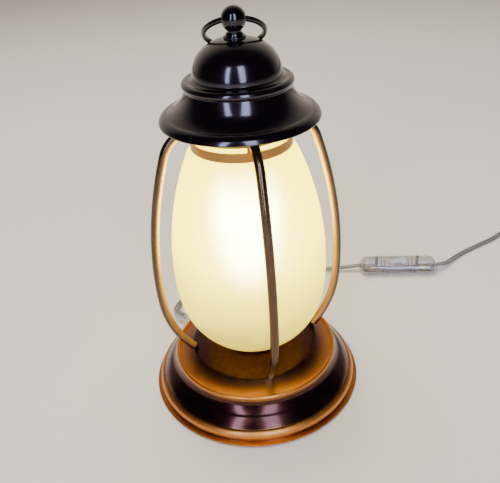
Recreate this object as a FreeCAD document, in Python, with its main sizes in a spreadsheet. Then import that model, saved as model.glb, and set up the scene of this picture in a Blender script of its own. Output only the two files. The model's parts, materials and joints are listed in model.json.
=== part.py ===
"""Electric table lantern: spun copper base, four bowed tube arms, frosted egg-shaped glass, bell hood with a
ball finial and a carrying ring, and a clear twin cord with an in-line switch and a two-pin plug.

Millimetres, +Z up. The origin is the centre of the face that the lantern stands on, on its axis. The frame of
the four arms is turned a little about Z, so that no arm hides the middle of the glass from the front (-Y)."""
import FreeCAD, Part
import math
import os
import re
import Sketcher
from FreeCAD import Placement, Rotation, Vector

doc = FreeCAD.newDocument("lantern")

# ---------------------------------------------------------------- driving dimensions
SIZES = dict(
    # base shell: radii and heights of its outer skin, from the flange up to the deck
    base_radius=79.0, base_wall=1.0, flange_top=1.8, groove_radius=75.2, groove_top=2.8, bulge_curve=5.0,
    bulge_radius=72.6, bulge_top=10.6, ogee_radius=67.0, ogee_top=17.0, ogee_curve=30.0, neck_radius=61.6,
    neck_top=23.6, cove_curve=14.0, rim_curve=3.6, rim_radius=60.6, rim_top=29.8, tray_radius=58.6,
    tray_height=28.4, deck_slope=34.0, deck_radius=27.0, deck_height=37.5,
    # inside the base
    felt_thickness=3.0, felt_inner=30.0, felt_outer=70.0, plate_wall=1.2, plate_radius=72.0, dish_radius=16.0,
    dish_height=9.0, ballast_inner=26.0, ballast_outer=56.0, ballast_height=12.0,
    # hollow centre tube and what clamps on it
    tube_radius=5.0, tube_bore=3.5, fit=0.05, gap=0.3, nut_height=4.0, nut_width=16.0, washer_radius=9.0,
    washer_height=1.0,
    # glass seat
    seat_radius=24.0, seat_wall=0.8, seat_height=3.4, gasket_height=0.8,
    # lampholder and bulb
    socket_height=72.0, socket_cap_height=14.0, socket_cap_radius=11.5, socket_radius=13.5,
    socket_length=32.0, socket_bore=9.2, socket_wall=1.4, sleeve_wall=0.5, lamp_cap_radius=6.9,
    lamp_cap_length=24.0, bulb_radius=22.5, bulb_length=54.0,
    # glass: outer skin
    glass_wall=2.2, glass_foot=22.4, glass_belly=54.3, glass_belly_height=104.0, glass_low_curve=140.0,
    glass_low_turn=24.0, glass_edge=24.5, glass_edge_height=41.6, glass_shoulder=36.2, glass_neck=31.6,
    # arms: centreline of a tube
    arm_radius=3.0, arm_wall=0.8, arm_clear=8.7, arm_belly_height=98.0, arm_low_turn=20.0, arm_low_curve=222.0,
    arm_foot_radius=47.4, arm_foot_rise=2.4, arm_shoulder=50.5, arm_shoulder_height=192.0, frame_turn=11.0,
    foot_tip=1.2, foot_screw=1.5,
    # crown: collar that the arms meet, gallery under it, crossbar and stud over it
    crown_outer=28.5, crown_inner=24.2, crown_height=7.0, gallery_wall=0.8, gallery_band=6.0,
    gallery_drop=10.0, gallery_post=7.0, bar_width=12.0, bar_thick=2.0, stud_radius=3.0, screw_radius=1.5,
    # hood: outer skin, heights above the crown's top
    hood_wall=1.0, hood_radius=50.9, hood_lip=6.0, hood_flare=45.5, hood_flare_rise=5.8, hood_waist=33.2,
    hood_waist_rise=20.3, hood_skirt_curve=22.0, bead_curve=2.75, bead_rise=26.0,
    dome_radius=27.6, dome_shoulder=20.2, dome_shoulder_rise=42.5, hood_rise=48.0,
    # finial and carrying ring
    ball_radius=7.5, ball_height=10.6, finial_foot=6.7, finial_neck=4.1, eye_radius=2.6, ring_radius=18.5,
    ring_wire=1.7, ring_rest=37.0,
    # cord, in-line switch and plug
    lead_radius=1.6, cord_width=5.2, cord_thick=2.6, gland_length=20.0, gland_radius=4.2, exit_turn=134.0,
    exit_height=8.6,
    switch_length=73.0, switch_width=22.0, switch_height=12.0, switch_wall=1.2, rocker_length=15.0,
    rocker_width=8.0, rocker_throw=8.0, plug_length=36.0, plug_width=26.0, plug_height=13.0, pin_radius=2.0,
    pin_length=19.0, pin_pitch=19.0, coil_radius=29.0, coil_band=18.0, coil_height=8.0,
    tie_wall=1.0, tie_width=5.0)

sheet = doc.addObject("Spreadsheet::Sheet", "dims")
for row, (name, value) in enumerate(SIZES.items(), start=1):
    sheet.set(f"A{row}", name)
    sheet.set(f"B{row}", str(value))
    sheet.setAlias(f"B{row}", name)
doc.recompute()


def bound(words):
    """Expression on the sheet: every size's name gets the sheet's name in front."""
    return re.sub(r"\b([a-z]+_[a-z_]+|fit|gap)\b", r"dims.\1", str(words))


def value(words):
    """The expression's number now."""
    return float(sheet.evalExpression(bound(words)))


# ---------------------------------------------------------------- levels and curves that several pieces share
PLATE_TOP = "(felt_thickness + plate_wall)"
DISH_TOP = "(dish_height + plate_wall)"
DECK = "deck_height"
SEAT_TOP = "(deck_height + seat_wall)"
GLASS_FOOT = f"({SEAT_TOP} + gasket_height)"
ARM_BELLY = "(glass_belly + arm_clear + arm_radius)"
ARM_DR = f"({ARM_BELLY} - arm_shoulder)"
ARM_DZ = "(arm_shoulder_height - arm_belly_height)"
# an arc that leaves the belly upright and ends level at the crown
ARM_TOP = f"(arm_shoulder_height + (arm_shoulder - crown_outer) * ({ARM_DZ} - {ARM_DR}) / ({ARM_DZ} + {ARM_DR}))"
CROWN_FOOT = f"({ARM_TOP} - crown_height / 2)"
CROWN_TOP = f"({ARM_TOP} + crown_height / 2)"
GALLERY_TOP = CROWN_FOOT
GALLERY_FOOT = f"({GALLERY_TOP} - gallery_drop)"
GLASS_TOP = f"({GALLERY_TOP} - gallery_wall - gap * 4)"
GALLERY_INNER = "(glass_neck + gap * 2)"
GALLERY_OUTER = f"({GALLERY_INNER} + gallery_wall)"
GLASS_SHOULDER = f"({GALLERY_FOOT} - 5)"
BAR_TOP = f"({CROWN_TOP} + bar_thick)"
HOOD_FOOT = CROWN_TOP
HOOD_TOP = f"({CROWN_TOP} + hood_rise)"
BALL = f"({HOOD_TOP} + ball_height)"
FOOT_PIN = "(arm_foot_radius - 1.3)"
SOCKET_FOOT = "(socket_height + gap)"
SOCKET_TOP = f"({SOCKET_FOOT} + socket_cap_height + socket_length)"
LAMP_FOOT = f"({SOCKET_TOP} - lamp_cap_length)"


def upright_arc(dr, dz):
    """Radius of an arc that starts upright and moves dr across while it rises dz."""
    return f"((({dr})^2 + ({dz})^2) / (2 * ({dr})))"


def turned_in(radius, rise):
    """How far across an upright-started arc of this radius has moved after this rise."""
    return f"({radius} - sqrt(({radius})^2 - ({rise})^2))"


def following_arc(dr, dz, radius, rise):
    """Radius of the arc that goes on smoothly from an upright-started arc of the given radius and rise, and
    moves dr across and dz along after it."""
    sine = f"({rise}) / ({radius})"
    return f"((({dr})^2 + ({dz})^2) / (2 * (({dr}) * sqrt(1 - ({sine})^2) - ({dz}) * ({sine}))))"


# ---------------------------------------------------------------- drawing helpers
def origin_plane(body, role):
    return next(f for f in body.Origin.OriginFeatures if f.Role == role)


def new_body(label):
    body = doc.addObject("PartDesign::Body", label)
    body.Label = label
    return body


def new_sketch(owner, plane=None, label="outline"):
    """Sketch on one of a body's own planes, or, with no body, a free sketch on the XZ plane."""
    if plane:
        sketch = owner.newObject("Sketcher::SketchObject", label)
        sketch.AttachmentSupport = [(origin_plane(owner, plane), "")]
        sketch.MapMode = "FlatFace"
    else:
        sketch = doc.addObject("Sketcher::SketchObject", label)
        sketch.Placement = Placement(Vector(), Rotation(Vector(1, 0, 0), 90))
    return sketch


def arc_through(start, end, radius):
    """Arc of a radius from start to end: positive bulges to the left of the way, negative to the right."""
    chord = end - start
    half = chord.Length / 2
    sagitta = abs(radius) - math.sqrt(max(radius * radius - half * half, 0.0))
    left = Vector(-chord.y, chord.x, 0).normalize()
    middle = (start + end) * 0.5 + left * math.copysign(sagitta, radius)
    return Part.Arc(start, middle, end)


def pin_down(sketch, geometry, point, corner):
    """Constrain one point of a sketch to a pair of expressions."""
    for kind, axis, words in (("DistanceX", -2, corner[0]), ("DistanceY", -1, corner[1])):
        if str(words) == "0":
            sketch.addConstraint(Sketcher.Constraint("PointOnObject", geometry, point, axis))
            continue
        index = sketch.addConstraint(Sketcher.Constraint(kind, -1, 1, geometry, point, value(words)))
        sketch.setExpression(f"Constraints[{index}]", bound(words))


def chain(sketch, corners, arcs=None, closed=True):
    """Lines and arcs through corners, each a pair of expressions. arcs gives a radius expression by segment
    number, with a minus in front where the arc bulges to the right."""
    arcs = arcs or {}
    first = sketch.GeometryCount
    points = [Vector(value(x), value(z), 0) for x, z in corners]
    count = len(points) if closed else len(points) - 1
    ends = []
    for number in range(count):
        start, end = points[number], points[(number + 1) % len(points)]
        if number in arcs:
            words = str(arcs[number])
            side = -1 if words.startswith("-") else 1
            sketch.addGeometry(arc_through(start, end, side * value(words.lstrip("-"))))
        else:
            sketch.addGeometry(Part.LineSegment(start, end))
        index = first + number
        forward = (sketch.getPoint(index, 1) - start).Length < (sketch.getPoint(index, 2) - start).Length
        ends.append((1, 2) if forward else (2, 1))
    for number in range(count):
        index = first + number
        pin_down(sketch, index, ends[number][0], corners[number])
        if number in arcs:
            radius = str(arcs[number]).lstrip("-")
            place = sketch.addConstraint(Sketcher.Constraint("Radius", index, value(radius)))
            sketch.setExpression(f"Constraints[{place}]", bound(radius))
        if closed or number + 1 < count:
            after = (number + 1) % count
            sketch.addConstraint(Sketcher.Constraint(
                "Coincident", index, ends[number][1], first + after, ends[after][0]))
        else:
            pin_down(sketch, index, ends[number][1], corners[-1])


def circle(sketch, radius, across=0, along=0):
    """Circle of a radius expression, its centre at a pair of expressions."""
    centre = Vector(value(across), value(along), 0)
    index = sketch.addGeometry(Part.Circle(centre, Vector(0, 0, 1), value(radius)))
    pin_down(sketch, index, 3, (across, along))
    place = sketch.addConstraint(Sketcher.Constraint("Radius", index, value(radius)))
    sketch.setExpression(f"Constraints[{place}]", bound(radius))


def revolve_in(body, corners, arcs=None):
    """Revolve a closed outline of (radius, height) corners about the body's Z axis."""
    sketch = new_sketch(body, "XZ_Plane")
    chain(sketch, corners, arcs)
    turn = body.newObject("PartDesign::Revolution", "turn")
    turn.Profile = sketch
    turn.ReferenceAxis = (sketch, ["V_Axis"])
    turn.Angle = 360
    return turn


def turned(label, corners, arcs=None):
    """Turned piece on the lantern's axis."""
    body = new_body(label)
    revolve_in(body, corners, arcs)
    return body


def ring_outline(inner, outer, low, high):
    return [(inner, low), (outer, low), (outer, high), (inner, high)]


def spun(label, corners, arcs, wall):
    """Spun sheet: the outer skin's open line, given its wall inwards, turned about Z."""
    sketch = new_sketch(None, label=f"{label}_skin")
    chain(sketch, corners, arcs, closed=False)
    section = doc.addObject("Part::Offset2D", f"{label}_section")
    section.Source = sketch
    section.Mode = "Skin"
    section.Join = 0
    section.Fill = True
    section.setExpression("Value", bound(wall))
    shell = doc.addObject("Part::Revolution", label)
    shell.Label = label
    shell.Source = section
    shell.Axis = (0, 0, 1)
    shell.Angle = 360
    shell.Solid = False
    return shell


def part_box(label, sizes, place=(0, 0, 0)):
    """Box centred in plan on place, standing on its height, with expressions for sizes."""
    box = doc.addObject("Part::Box", label)
    for side, words in zip(("Length", "Width", "Height"), sizes):
        box.setExpression(side, bound(words))
    box.setExpression("Placement.Base.x", bound(f"({place[0]}) - ({sizes[0]}) / 2"))
    box.setExpression("Placement.Base.y", bound(f"({place[1]}) - ({sizes[1]}) / 2"))
    box.setExpression("Placement.Base.z", bound(place[2]))
    return box


def part_cylinder(label, radius, height, place=(0, 0, 0), tilt=None):
    """Cylinder from place; tilt is its Placement's Rotation, if it doesn't stand upright."""
    rod = doc.addObject("Part::Cylinder", label)
    rod.setExpression("Radius", bound(radius))
    rod.setExpression("Height", bound(height))
    if tilt:
        rod.Placement.Rotation = tilt
    for axis, words in zip("xyz", place):
        rod.setExpression(f"Placement.Base.{axis}", bound(words))
    return rod


def cut(label, base, *tools):
    """Base less each tool in turn; the last cut has the label."""
    for number, tool in enumerate(tools):
        name = label if number == len(tools) - 1 else f"{label}_cut{number}"
        result = doc.addObject("Part::Cut", name)
        result.Base, result.Tool = base, tool
        base = result
    base.Label = label
    return base


def fuse(label, shapes):
    joined = doc.addObject("Part::MultiFuse", label)
    joined.Shapes = shapes
    joined.Label = label
    return joined


def hex_nut(label, width, height, low, bore):
    """Hexagon nut on the axis, clear of the thread it runs on."""
    blank = doc.addObject("Part::Prism", f"{label}_blank")
    blank.Polygon = 6
    blank.setExpression("Circumradius", bound(f"({width}) / sqrt(3)"))
    blank.setExpression("Height", bound(height))
    blank.setExpression("Placement.Base.z", bound(low))
    hole = part_cylinder(f"{label}_hole", bore, height, (0, 0, low))
    return cut(label, blank, hole)


def around(angle):
    """Placement turned about the lantern's axis."""
    return Placement(Vector(), Rotation(Vector(0, 0, 1), angle))


def polar(radius, angle, height):
    """Place, as expressions, at a radius and an angle in degrees."""
    turn = math.radians(angle)
    return f"({radius}) * {math.cos(turn):.9f}", f"({radius}) * {math.sin(turn):.9f}", height


def solids_node(label, shapes):
    """One node that holds several separate solids."""
    node = doc.addObject("Part::Compound", label)
    node.Links = shapes
    node.Label = label
    return node


parts = []
ARM_AZIMUTHS = dict(front=270, right=0, back=90, left=180)
ARMS_TURN = value("frame_turn")


def keep(*objects):
    parts.extend(objects)


# ---------------------------------------------------------------- base
def base_shell():
    corners = [
        ("base_radius", "flange_top"), ("groove_radius", "flange_top"), ("groove_radius", "groove_top"),
        ("bulge_radius", "bulge_top"), ("ogee_radius", "ogee_top"), ("neck_radius", "neck_top"),
        ("rim_radius", "rim_top"), ("tray_radius", "tray_height"), ("arm_foot_radius", "deck_slope"),
        ("deck_radius", DECK), ("tube_radius + fit", DECK)]
    arcs = {2: "-bulge_curve", 3: "-ogee_curve", 4: "cove_curve", 5: "-rim_curve", 7: "ogee_curve"}
    skin = spun("base_shell_spun", corners, arcs, "base_wall")
    holes = [part_cylinder(f"foot_hole_{name}", "foot_screw + fit", "rim_top",
                           polar(FOOT_PIN, azimuth + ARMS_TURN, "deck_height / 2"))
             for name, azimuth in ARM_AZIMUTHS.items()]
    outlet = radial_cylinder("outlet_hole", "gland_radius + fit", "ogee_radius - 5", "base_radius")
    return cut("base_shell", skin, *holes, outlet)


def radial_cylinder(label, radius, inner, outer):
    """Level cylinder out along the cord outlet's azimuth, between two radii."""
    rod = doc.addObject("Part::Cylinder", label)
    rod.setExpression("Radius", bound(radius))
    rod.setExpression("Height", bound(f"({outer}) - ({inner})"))
    rod.Placement = outlet_placement(value(inner))
    return rod


def outlet_placement(distance):
    """Z along the outlet's axis, at a distance from the lantern's axis."""
    turn = Rotation(Vector(0, 0, 1), value("exit_turn")) * Rotation(Vector(0, 1, 0), 90)
    angle = math.radians(value("exit_turn"))
    return Placement(Vector(distance * math.cos(angle), distance * math.sin(angle), value("exit_height")), turn)


keep(base_shell())

plate_corners = [("plate_radius", PLATE_TOP), ("dish_radius + 6", PLATE_TOP), ("dish_radius", DISH_TOP),
                 ("tube_radius + fit", DISH_TOP)]
keep(spun("base_plate", plate_corners, {}, "plate_wall"))
keep(turned("felt_ring", ring_outline("felt_inner", "felt_outer", 0, "felt_thickness")))
keep(turned("ballast_ring", ring_outline(
    "ballast_inner", "ballast_outer", PLATE_TOP, f"{PLATE_TOP} + ballast_height")))


# ---------------------------------------------------------------- centre tube and its nuts
def washer(label, low):
    return turned(label, ring_outline("tube_radius + fit", "washer_radius", low, f"{low} + washer_height"))


def centre_tube():
    low = "(dish_height - washer_height - nut_height - gap)"
    rod = turned("centre_tube_turned", ring_outline("tube_bore", "tube_radius", low, f"{SOCKET_FOOT} + 6"))
    slot = part_cylinder("lead_slot", "lead_radius + gap", "tube_radius * 2",
                         (0, 0, LEAD_ENTRY), Rotation(Vector(0, 0, 1), value("exit_turn")) *
                         Rotation(Vector(0, 1, 0), 90))
    return cut("centre_tube", rod, slot)


LEAD_ENTRY = "(deck_height - 11)"
keep(centre_tube())
keep(washer("base_washer", "(dish_height - washer_height)"))
keep(hex_nut("base_nut", "nut_width", "nut_height", "(dish_height - washer_height - nut_height)",
             "tube_radius + fit"))
keep(washer("seat_washer", SEAT_TOP))
keep(hex_nut("seat_nut", "nut_width", "nut_height", f"({SEAT_TOP} + washer_height)", "tube_radius + fit"))

# ---------------------------------------------------------------- glass, its seat and its gasket
seat_inner = "seat_radius - seat_wall"
keep(turned("seat_cup", [
    ("tube_radius + fit", DECK), ("seat_radius", DECK), ("seat_radius", "deck_height + seat_height"),
    (seat_inner, "deck_height + seat_height"), (seat_inner, SEAT_TOP), ("tube_radius + fit", SEAT_TOP)]))
keep(turned("seat_gasket", ring_outline(
    "glass_foot - glass_wall * 2", f"{seat_inner} - fit", SEAT_TOP, f"{SEAT_TOP} + gasket_height")))


def glass_shade():
    low_height = "(glass_belly_height - glass_low_turn)"
    low_radius = f"(glass_belly - {turned_in('glass_low_curve', 'glass_low_turn')})"
    corners = [
        ("glass_foot", GLASS_FOOT), ("glass_foot", "glass_edge_height - gap"),
        ("glass_edge", "glass_edge_height"), (low_radius, low_height), ("glass_belly", "glass_belly_height"),
        ("glass_shoulder", GLASS_SHOULDER), ("glass_neck", GALLERY_FOOT), ("glass_neck", GLASS_TOP)]
    lowest = following_arc(f"{low_radius} - glass_edge", f"{low_height} - glass_edge_height",
                           "glass_low_curve", "glass_low_turn")
    upper = upright_arc("glass_belly - glass_shoulder", f"{GLASS_SHOULDER} - glass_belly_height")
    arcs = {2: f"-{lowest}", 3: "-glass_low_curve", 4: f"-{upper}", 5: "-glass_shoulder / 3"}
    return spun("glass_shade", corners, arcs, "glass_wall")


keep(glass_shade())


# ---------------------------------------------------------------- lampholder and bulb
def socket_cap():
    inner = "socket_cap_radius - socket_wall"
    return turned("socket_cap", [
        ("tube_radius + fit", SOCKET_FOOT), ("socket_cap_radius - 3", SOCKET_FOOT),
        ("socket_cap_radius", f"{SOCKET_FOOT} + 5"), ("socket_cap_radius", f"{SOCKET_FOOT} + socket_cap_height"),
        (inner, f"{SOCKET_FOOT} + socket_cap_height"), (inner, f"{SOCKET_FOOT} + 6"),
        ("socket_cap_radius - 4", f"{SOCKET_FOOT} + socket_wall"),
        ("tube_radius + fit", f"{SOCKET_FOOT} + socket_wall")], {1: "-socket_cap_radius"})


def socket_shell():
    low, wide = f"{SOCKET_FOOT} + socket_cap_height", "socket_radius - socket_wall"
    return turned("socket_shell", [
        (wide, low), ("socket_radius", low), ("socket_radius", SOCKET_TOP), ("socket_bore", SOCKET_TOP),
        ("socket_bore", f"{SOCKET_TOP} - socket_wall"), (wide, f"{SOCKET_TOP} - socket_wall")])


INSERT_FOOT = f"({SOCKET_FOOT} + socket_cap_height)"
INSERT_TOP = f"({LAMP_FOOT} - 1)"
keep(socket_cap(), socket_shell())
keep(turned("socket_insert", [
    (0, INSERT_FOOT), ("socket_bore", INSERT_FOOT), ("socket_bore", INSERT_TOP), (0, INSERT_TOP)]))
keep(turned("socket_thread", ring_outline(
    "lamp_cap_radius + gap", "lamp_cap_radius + gap + sleeve_wall", INSERT_TOP, f"{SOCKET_TOP} - 3")))
keep(part_box("socket_contact", ("lamp_cap_radius", 3, "sleeve_wall"), (0, 0, INSERT_TOP)))
keep(turned("bulb_cap", [
    (0, f"{LAMP_FOOT} - gap"), ("lamp_cap_radius / 2", f"{LAMP_FOOT} - gap"),
    ("lamp_cap_radius", f"{LAMP_FOOT} + 3"), ("lamp_cap_radius", SOCKET_TOP), (0, SOCKET_TOP)]))


def bulb_envelope():
    """Round bulb on a flared neck, one thin shell closed by its cap."""
    wall, ball = "sleeve_wall * 2", f"({SOCKET_TOP} + bulb_length - bulb_radius)"
    join = "bulb_radius * 0.78"
    drop = "bulb_radius * sqrt(1 - 0.78^2)"
    inner = f"(bulb_radius - {wall})"
    return turned("bulb_envelope", [
        ("lamp_cap_radius - fit", SOCKET_TOP), (join, f"{ball} - {drop}"),
        (0, f"{ball} + bulb_radius"), (0, f"{ball} + {inner}"),
        (f"{inner} * 0.78", f"{ball} - {inner} * sqrt(1 - 0.78^2)"),
        (f"lamp_cap_radius - {wall}", SOCKET_TOP)],
        {0: "bulb_radius", 1: "-bulb_radius", 3: inner, 4: f"-bulb_radius + {wall}"})


keep(bulb_envelope())


# ---------------------------------------------------------------- frame: four arms between base and crown
def arm(name, azimuth):
    """Tube bent in one plane: upright at its belly, level where it meets the crown, slanted at its foot."""
    body = new_body(f"arm_{name}")
    path = new_sketch(body, "XZ_Plane", "bend")
    low_height = "(arm_belly_height - arm_low_turn)"
    low_radius = f"({ARM_BELLY} - {turned_in('arm_low_curve', 'arm_low_turn')})"
    level = f"({ARM_TOP} - arm_shoulder_height)"
    bend = f"((({level})^2 + (arm_shoulder - crown_outer)^2) / (2 * {level}))"
    lowest = following_arc(f"{low_radius} - arm_foot_radius", f"{low_height} - {ARM_FOOT}",
                           "arm_low_curve", "arm_low_turn")
    corners = [("crown_outer", ARM_TOP), ("arm_shoulder", "arm_shoulder_height"),
               (ARM_BELLY, "arm_belly_height"), (low_radius, low_height), ("arm_foot_radius", ARM_FOOT)]
    arcs = {0: bend, 1: upright_arc(ARM_DR, ARM_DZ), 2: "arm_low_curve", 3: lowest}
    chain(path, corners, arcs, closed=False)
    section = new_sketch(body, "YZ_Plane", "section")
    section.setExpression("AttachmentOffset.Base.z", bound("crown_outer"))
    circle(section, "arm_radius", 0, ARM_TOP)
    circle(section, "arm_radius - arm_wall", 0, ARM_TOP)
    pipe = body.newObject("PartDesign::AdditivePipe", "tube")
    pipe.Profile = section
    pipe.Spine = path
    body.Placement = around(azimuth + ARMS_TURN)
    return body


ARM_FOOT = "(deck_slope + arm_foot_rise)"
FOOT_LEAN = 43.0


def arm_foot(name, azimuth):
    """Plug in the arm's lower end, with a screw that stands through the deck."""
    lean = Rotation(Vector(0, 1, 0), FOOT_LEAN)
    along = Vector(math.sin(math.radians(FOOT_LEAN)), 0, math.cos(math.radians(FOOT_LEAN)))
    plug = doc.addObject("Part::Cylinder", f"foot_plug_{name}")
    plug.setExpression("Radius", bound("arm_radius - arm_wall - gap"))
    plug.setExpression("Height", bound("foot_tip * 3"))
    end = Vector(value("arm_foot_radius"), 0, value(ARM_FOOT))
    plug.Placement = Placement(end - along * value("foot_tip"), lean)
    screw = part_cylinder(f"foot_screw_{name}", "foot_screw", "foot_tip + 8",
                          (FOOT_PIN, 0, f"({ARM_FOOT} - foot_tip / 2 - 8)"))
    foot = fuse(f"arm_foot_{name}", [plug, screw])
    foot.Placement = around(azimuth + ARMS_TURN)
    return foot


for arm_name, arm_azimuth in ARM_AZIMUTHS.items():
    keep(arm(arm_name, arm_azimuth), arm_foot(arm_name, arm_azimuth))


def foot_nuts():
    """Nuts under the deck, one on each foot screw."""
    nuts = []
    for name, azimuth in ARM_AZIMUTHS.items():
        nut = hex_nut(f"foot_nut_{name}", "foot_screw * 3.7", "foot_screw * 1.6",
                      "(deck_slope - 5)", "foot_screw + fit")
        along = math.radians(azimuth + ARMS_TURN)
        reach = value(FOOT_PIN)
        nut.Placement = Placement(Vector(reach * math.cos(along), reach * math.sin(along), 0), Rotation())
        nuts.append(nut)
    return solids_node("foot_nuts", nuts)


keep(foot_nuts())

# ---------------------------------------------------------------- crown, gallery and crossbar
CROWN_MIDDLE = "((crown_outer + crown_inner) / 2)"
CROSS_TURN = ARMS_TURN + 45


def crown_ring():
    """Collar with blind holes for the gallery's and the crossbar's screws and through holes for arm studs."""
    collar = turned("crown_turned", ring_outline("crown_inner", "crown_outer", CROWN_FOOT, CROWN_TOP))
    tools = []
    for step in range(4):
        tools.append(part_cylinder(f"gallery_hole_{step}", "screw_radius + fit", 3,
                                   polar(CROWN_MIDDLE, CROSS_TURN + 90 * step, CROWN_FOOT)))
        bore = doc.addObject("Part::Cylinder", f"arm_stud_hole_{step}")
        bore.setExpression("Radius", bound("arm_radius - arm_wall - fit"))
        bore.setExpression("Height", bound("crown_outer"))
        bore.Placement = radial_placement(value("crown_inner") / 2, 90 * step + ARMS_TURN, value(ARM_TOP))
        tools.append(bore)
    for step in range(2):
        tools.append(part_cylinder(f"bar_hole_{step}", "screw_radius + fit", 3,
                                   polar(CROWN_MIDDLE, CROSS_TURN + 180 * step, f"({CROWN_TOP} - 3)")))
    return cut("crown_ring", collar, *tools)


def radial_placement(radius, angle, height):
    """Z outwards along a level radius."""
    turn = math.radians(angle)
    return Placement(Vector(radius * math.cos(turn), radius * math.sin(turn), height),
                     Rotation(Vector(0, 0, 1), angle) * Rotation(Vector(0, 1, 0), 90))


def arm_studs():
    """Short studs that hold the arms' upper ends to the crown."""
    studs = []
    for name, azimuth in ARM_AZIMUTHS.items():
        stud = doc.addObject("Part::Cylinder", f"arm_stud_{name}")
        stud.setExpression("Radius", bound("arm_radius - arm_wall - fit * 3"))
        stud.setExpression("Height", bound("crown_outer - crown_inner + foot_tip / 2"))
        stud.Placement = radial_placement(value("crown_inner"), azimuth + ARMS_TURN, value(ARM_TOP))
        studs.append(stud)
    return solids_node("arm_studs", studs)


def gallery():
    """Band round the glass's neck, hung on four posts from a flange under the crown."""
    hoop = turned("gallery_hoop", [
        (GALLERY_INNER, GALLERY_FOOT), (GALLERY_OUTER, GALLERY_FOOT), (GALLERY_OUTER, GALLERY_TOP),
        ("crown_inner", GALLERY_TOP), ("crown_inner", f"{GALLERY_TOP} - gallery_wall"),
        (GALLERY_INNER, f"{GALLERY_TOP} - gallery_wall")])
    tools = []
    post = math.degrees(value("gallery_post") / value(GALLERY_OUTER))
    for step in range(4):
        window = doc.addObject("Part::Cylinder", f"gallery_window_{step}")
        window.setExpression("Radius", bound(f"{GALLERY_OUTER} + 1"))
        window.setExpression("Height", bound("gallery_drop - gallery_band - gallery_wall"))
        window.Angle = 90 - post
        low = value(f"{GALLERY_FOOT} + gallery_band")
        window.Placement = Placement(
            Vector(0, 0, low), Rotation(Vector(0, 0, 1), 90 * step + ARMS_TURN + post / 2))
        tools.append(window)
        tools.append(part_cylinder(
            f"gallery_screw_hole_{step}", "screw_radius + fit", "gallery_wall * 3",
            polar(CROWN_MIDDLE, CROSS_TURN + 90 * step, f"({GALLERY_TOP} - gallery_wall * 2)")))
    return cut("gallery", hoop, *tools)


def pan_screw(label, length, low, upside_down=False):
    """Pan-head screw: shank from low upwards, the head on top, or under it when upside down."""
    shank = part_cylinder(f"{label}_shank", "screw_radius", length, (0, 0, low))
    head_low = f"({low} - screw_radius)" if upside_down else f"({low} + {length})"
    head = part_cylinder(f"{label}_head", "screw_radius * 1.8", "screw_radius", (0, 0, head_low))
    return fuse(label, [shank, head])


def screw_set(label, count, length, low, radius, upside_down=False):
    """Equal screws round a circle, kept as separate solids of one node."""
    screws = []
    for step in range(count):
        screw = pan_screw(f"{label}_{step}", length, low, upside_down)
        turn = math.radians(CROSS_TURN + 360 / count * step)
        reach = value(radius)
        screw.Placement = Placement(Vector(reach * math.cos(turn), reach * math.sin(turn), 0), Rotation())
        screws.append(screw)
    return solids_node(label, screws)


def crossbar():
    bar = part_box("crossbar_blank", ("crown_outer * 2", "bar_width", "bar_thick"), (0, 0, CROWN_TOP))
    low = f"({CROWN_TOP} - bar_thick)"
    holes = [part_cylinder("crossbar_stud_hole", "stud_radius + fit", "bar_thick * 3", (0, 0, low))]
    for side in (-1, 1):
        holes.append(part_cylinder(f"crossbar_screw_hole_{side + 1}", "screw_radius + fit", "bar_thick * 3",
                                   (f"({side} * {CROWN_MIDDLE})", 0, low)))
    bar = cut("crossbar", bar, *holes)
    bar.Placement = around(CROSS_TURN)
    return bar


keep(crown_ring(), arm_studs(), gallery(), crossbar())
keep(screw_set("gallery_screws", 4, "(gallery_wall + 2.5)", f"({GALLERY_TOP} - gallery_wall)", CROWN_MIDDLE,
               upside_down=True))
keep(screw_set("crossbar_screws", 2, "(bar_thick + 2.5)", f"({BAR_TOP} - bar_thick - 2.5)", CROWN_MIDDLE))
STUD_TOP = f"({HOOD_TOP} + ball_height / 2)"
keep(part_cylinder("hood_stud", "stud_radius", f"{STUD_TOP} - {CROWN_TOP}", (0, 0, CROWN_TOP)))
keep(hex_nut("crossbar_nut", "stud_radius * 3.3", "nut_height", BAR_TOP, "stud_radius + fit"))
keep(hex_nut("hood_nut", "stud_radius * 3.3", "nut_height", f"({HOOD_TOP} - hood_wall - nut_height)",
             "stud_radius + fit"))


# ---------------------------------------------------------------- hood, finial and carrying ring
def hood():
    def up(rise):
        return f"({HOOD_FOOT} + {rise})"
    dome_rise = "(dome_shoulder_rise - bead_rise - 0.7)"
    dome_curve = upright_arc("dome_radius - dome_shoulder", dome_rise)
    crest = following_arc("dome_shoulder - finial_foot - 1.3", "hood_rise - dome_shoulder_rise",
                          dome_curve, dome_rise)
    corners = [
        ("hood_radius", HOOD_FOOT), ("hood_flare", up("hood_flare_rise")), ("hood_waist", up("hood_waist_rise")),
        ("hood_waist - 1.8", up("bead_rise - 0.6")), ("dome_radius", up("bead_rise + 0.7")),
        ("dome_shoulder", up("dome_shoulder_rise")), ("finial_foot + 1.3", HOOD_TOP),
        ("stud_radius + fit", HOOD_TOP)]
    arcs = {0: "-hood_lip", 1: "hood_skirt_curve", 2: "-bead_curve", 3: "bead_curve * 1.5",
            4: f"-{dome_curve}", 5: f"-{crest}"}
    return spun("hood", corners, arcs, "hood_wall")


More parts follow.
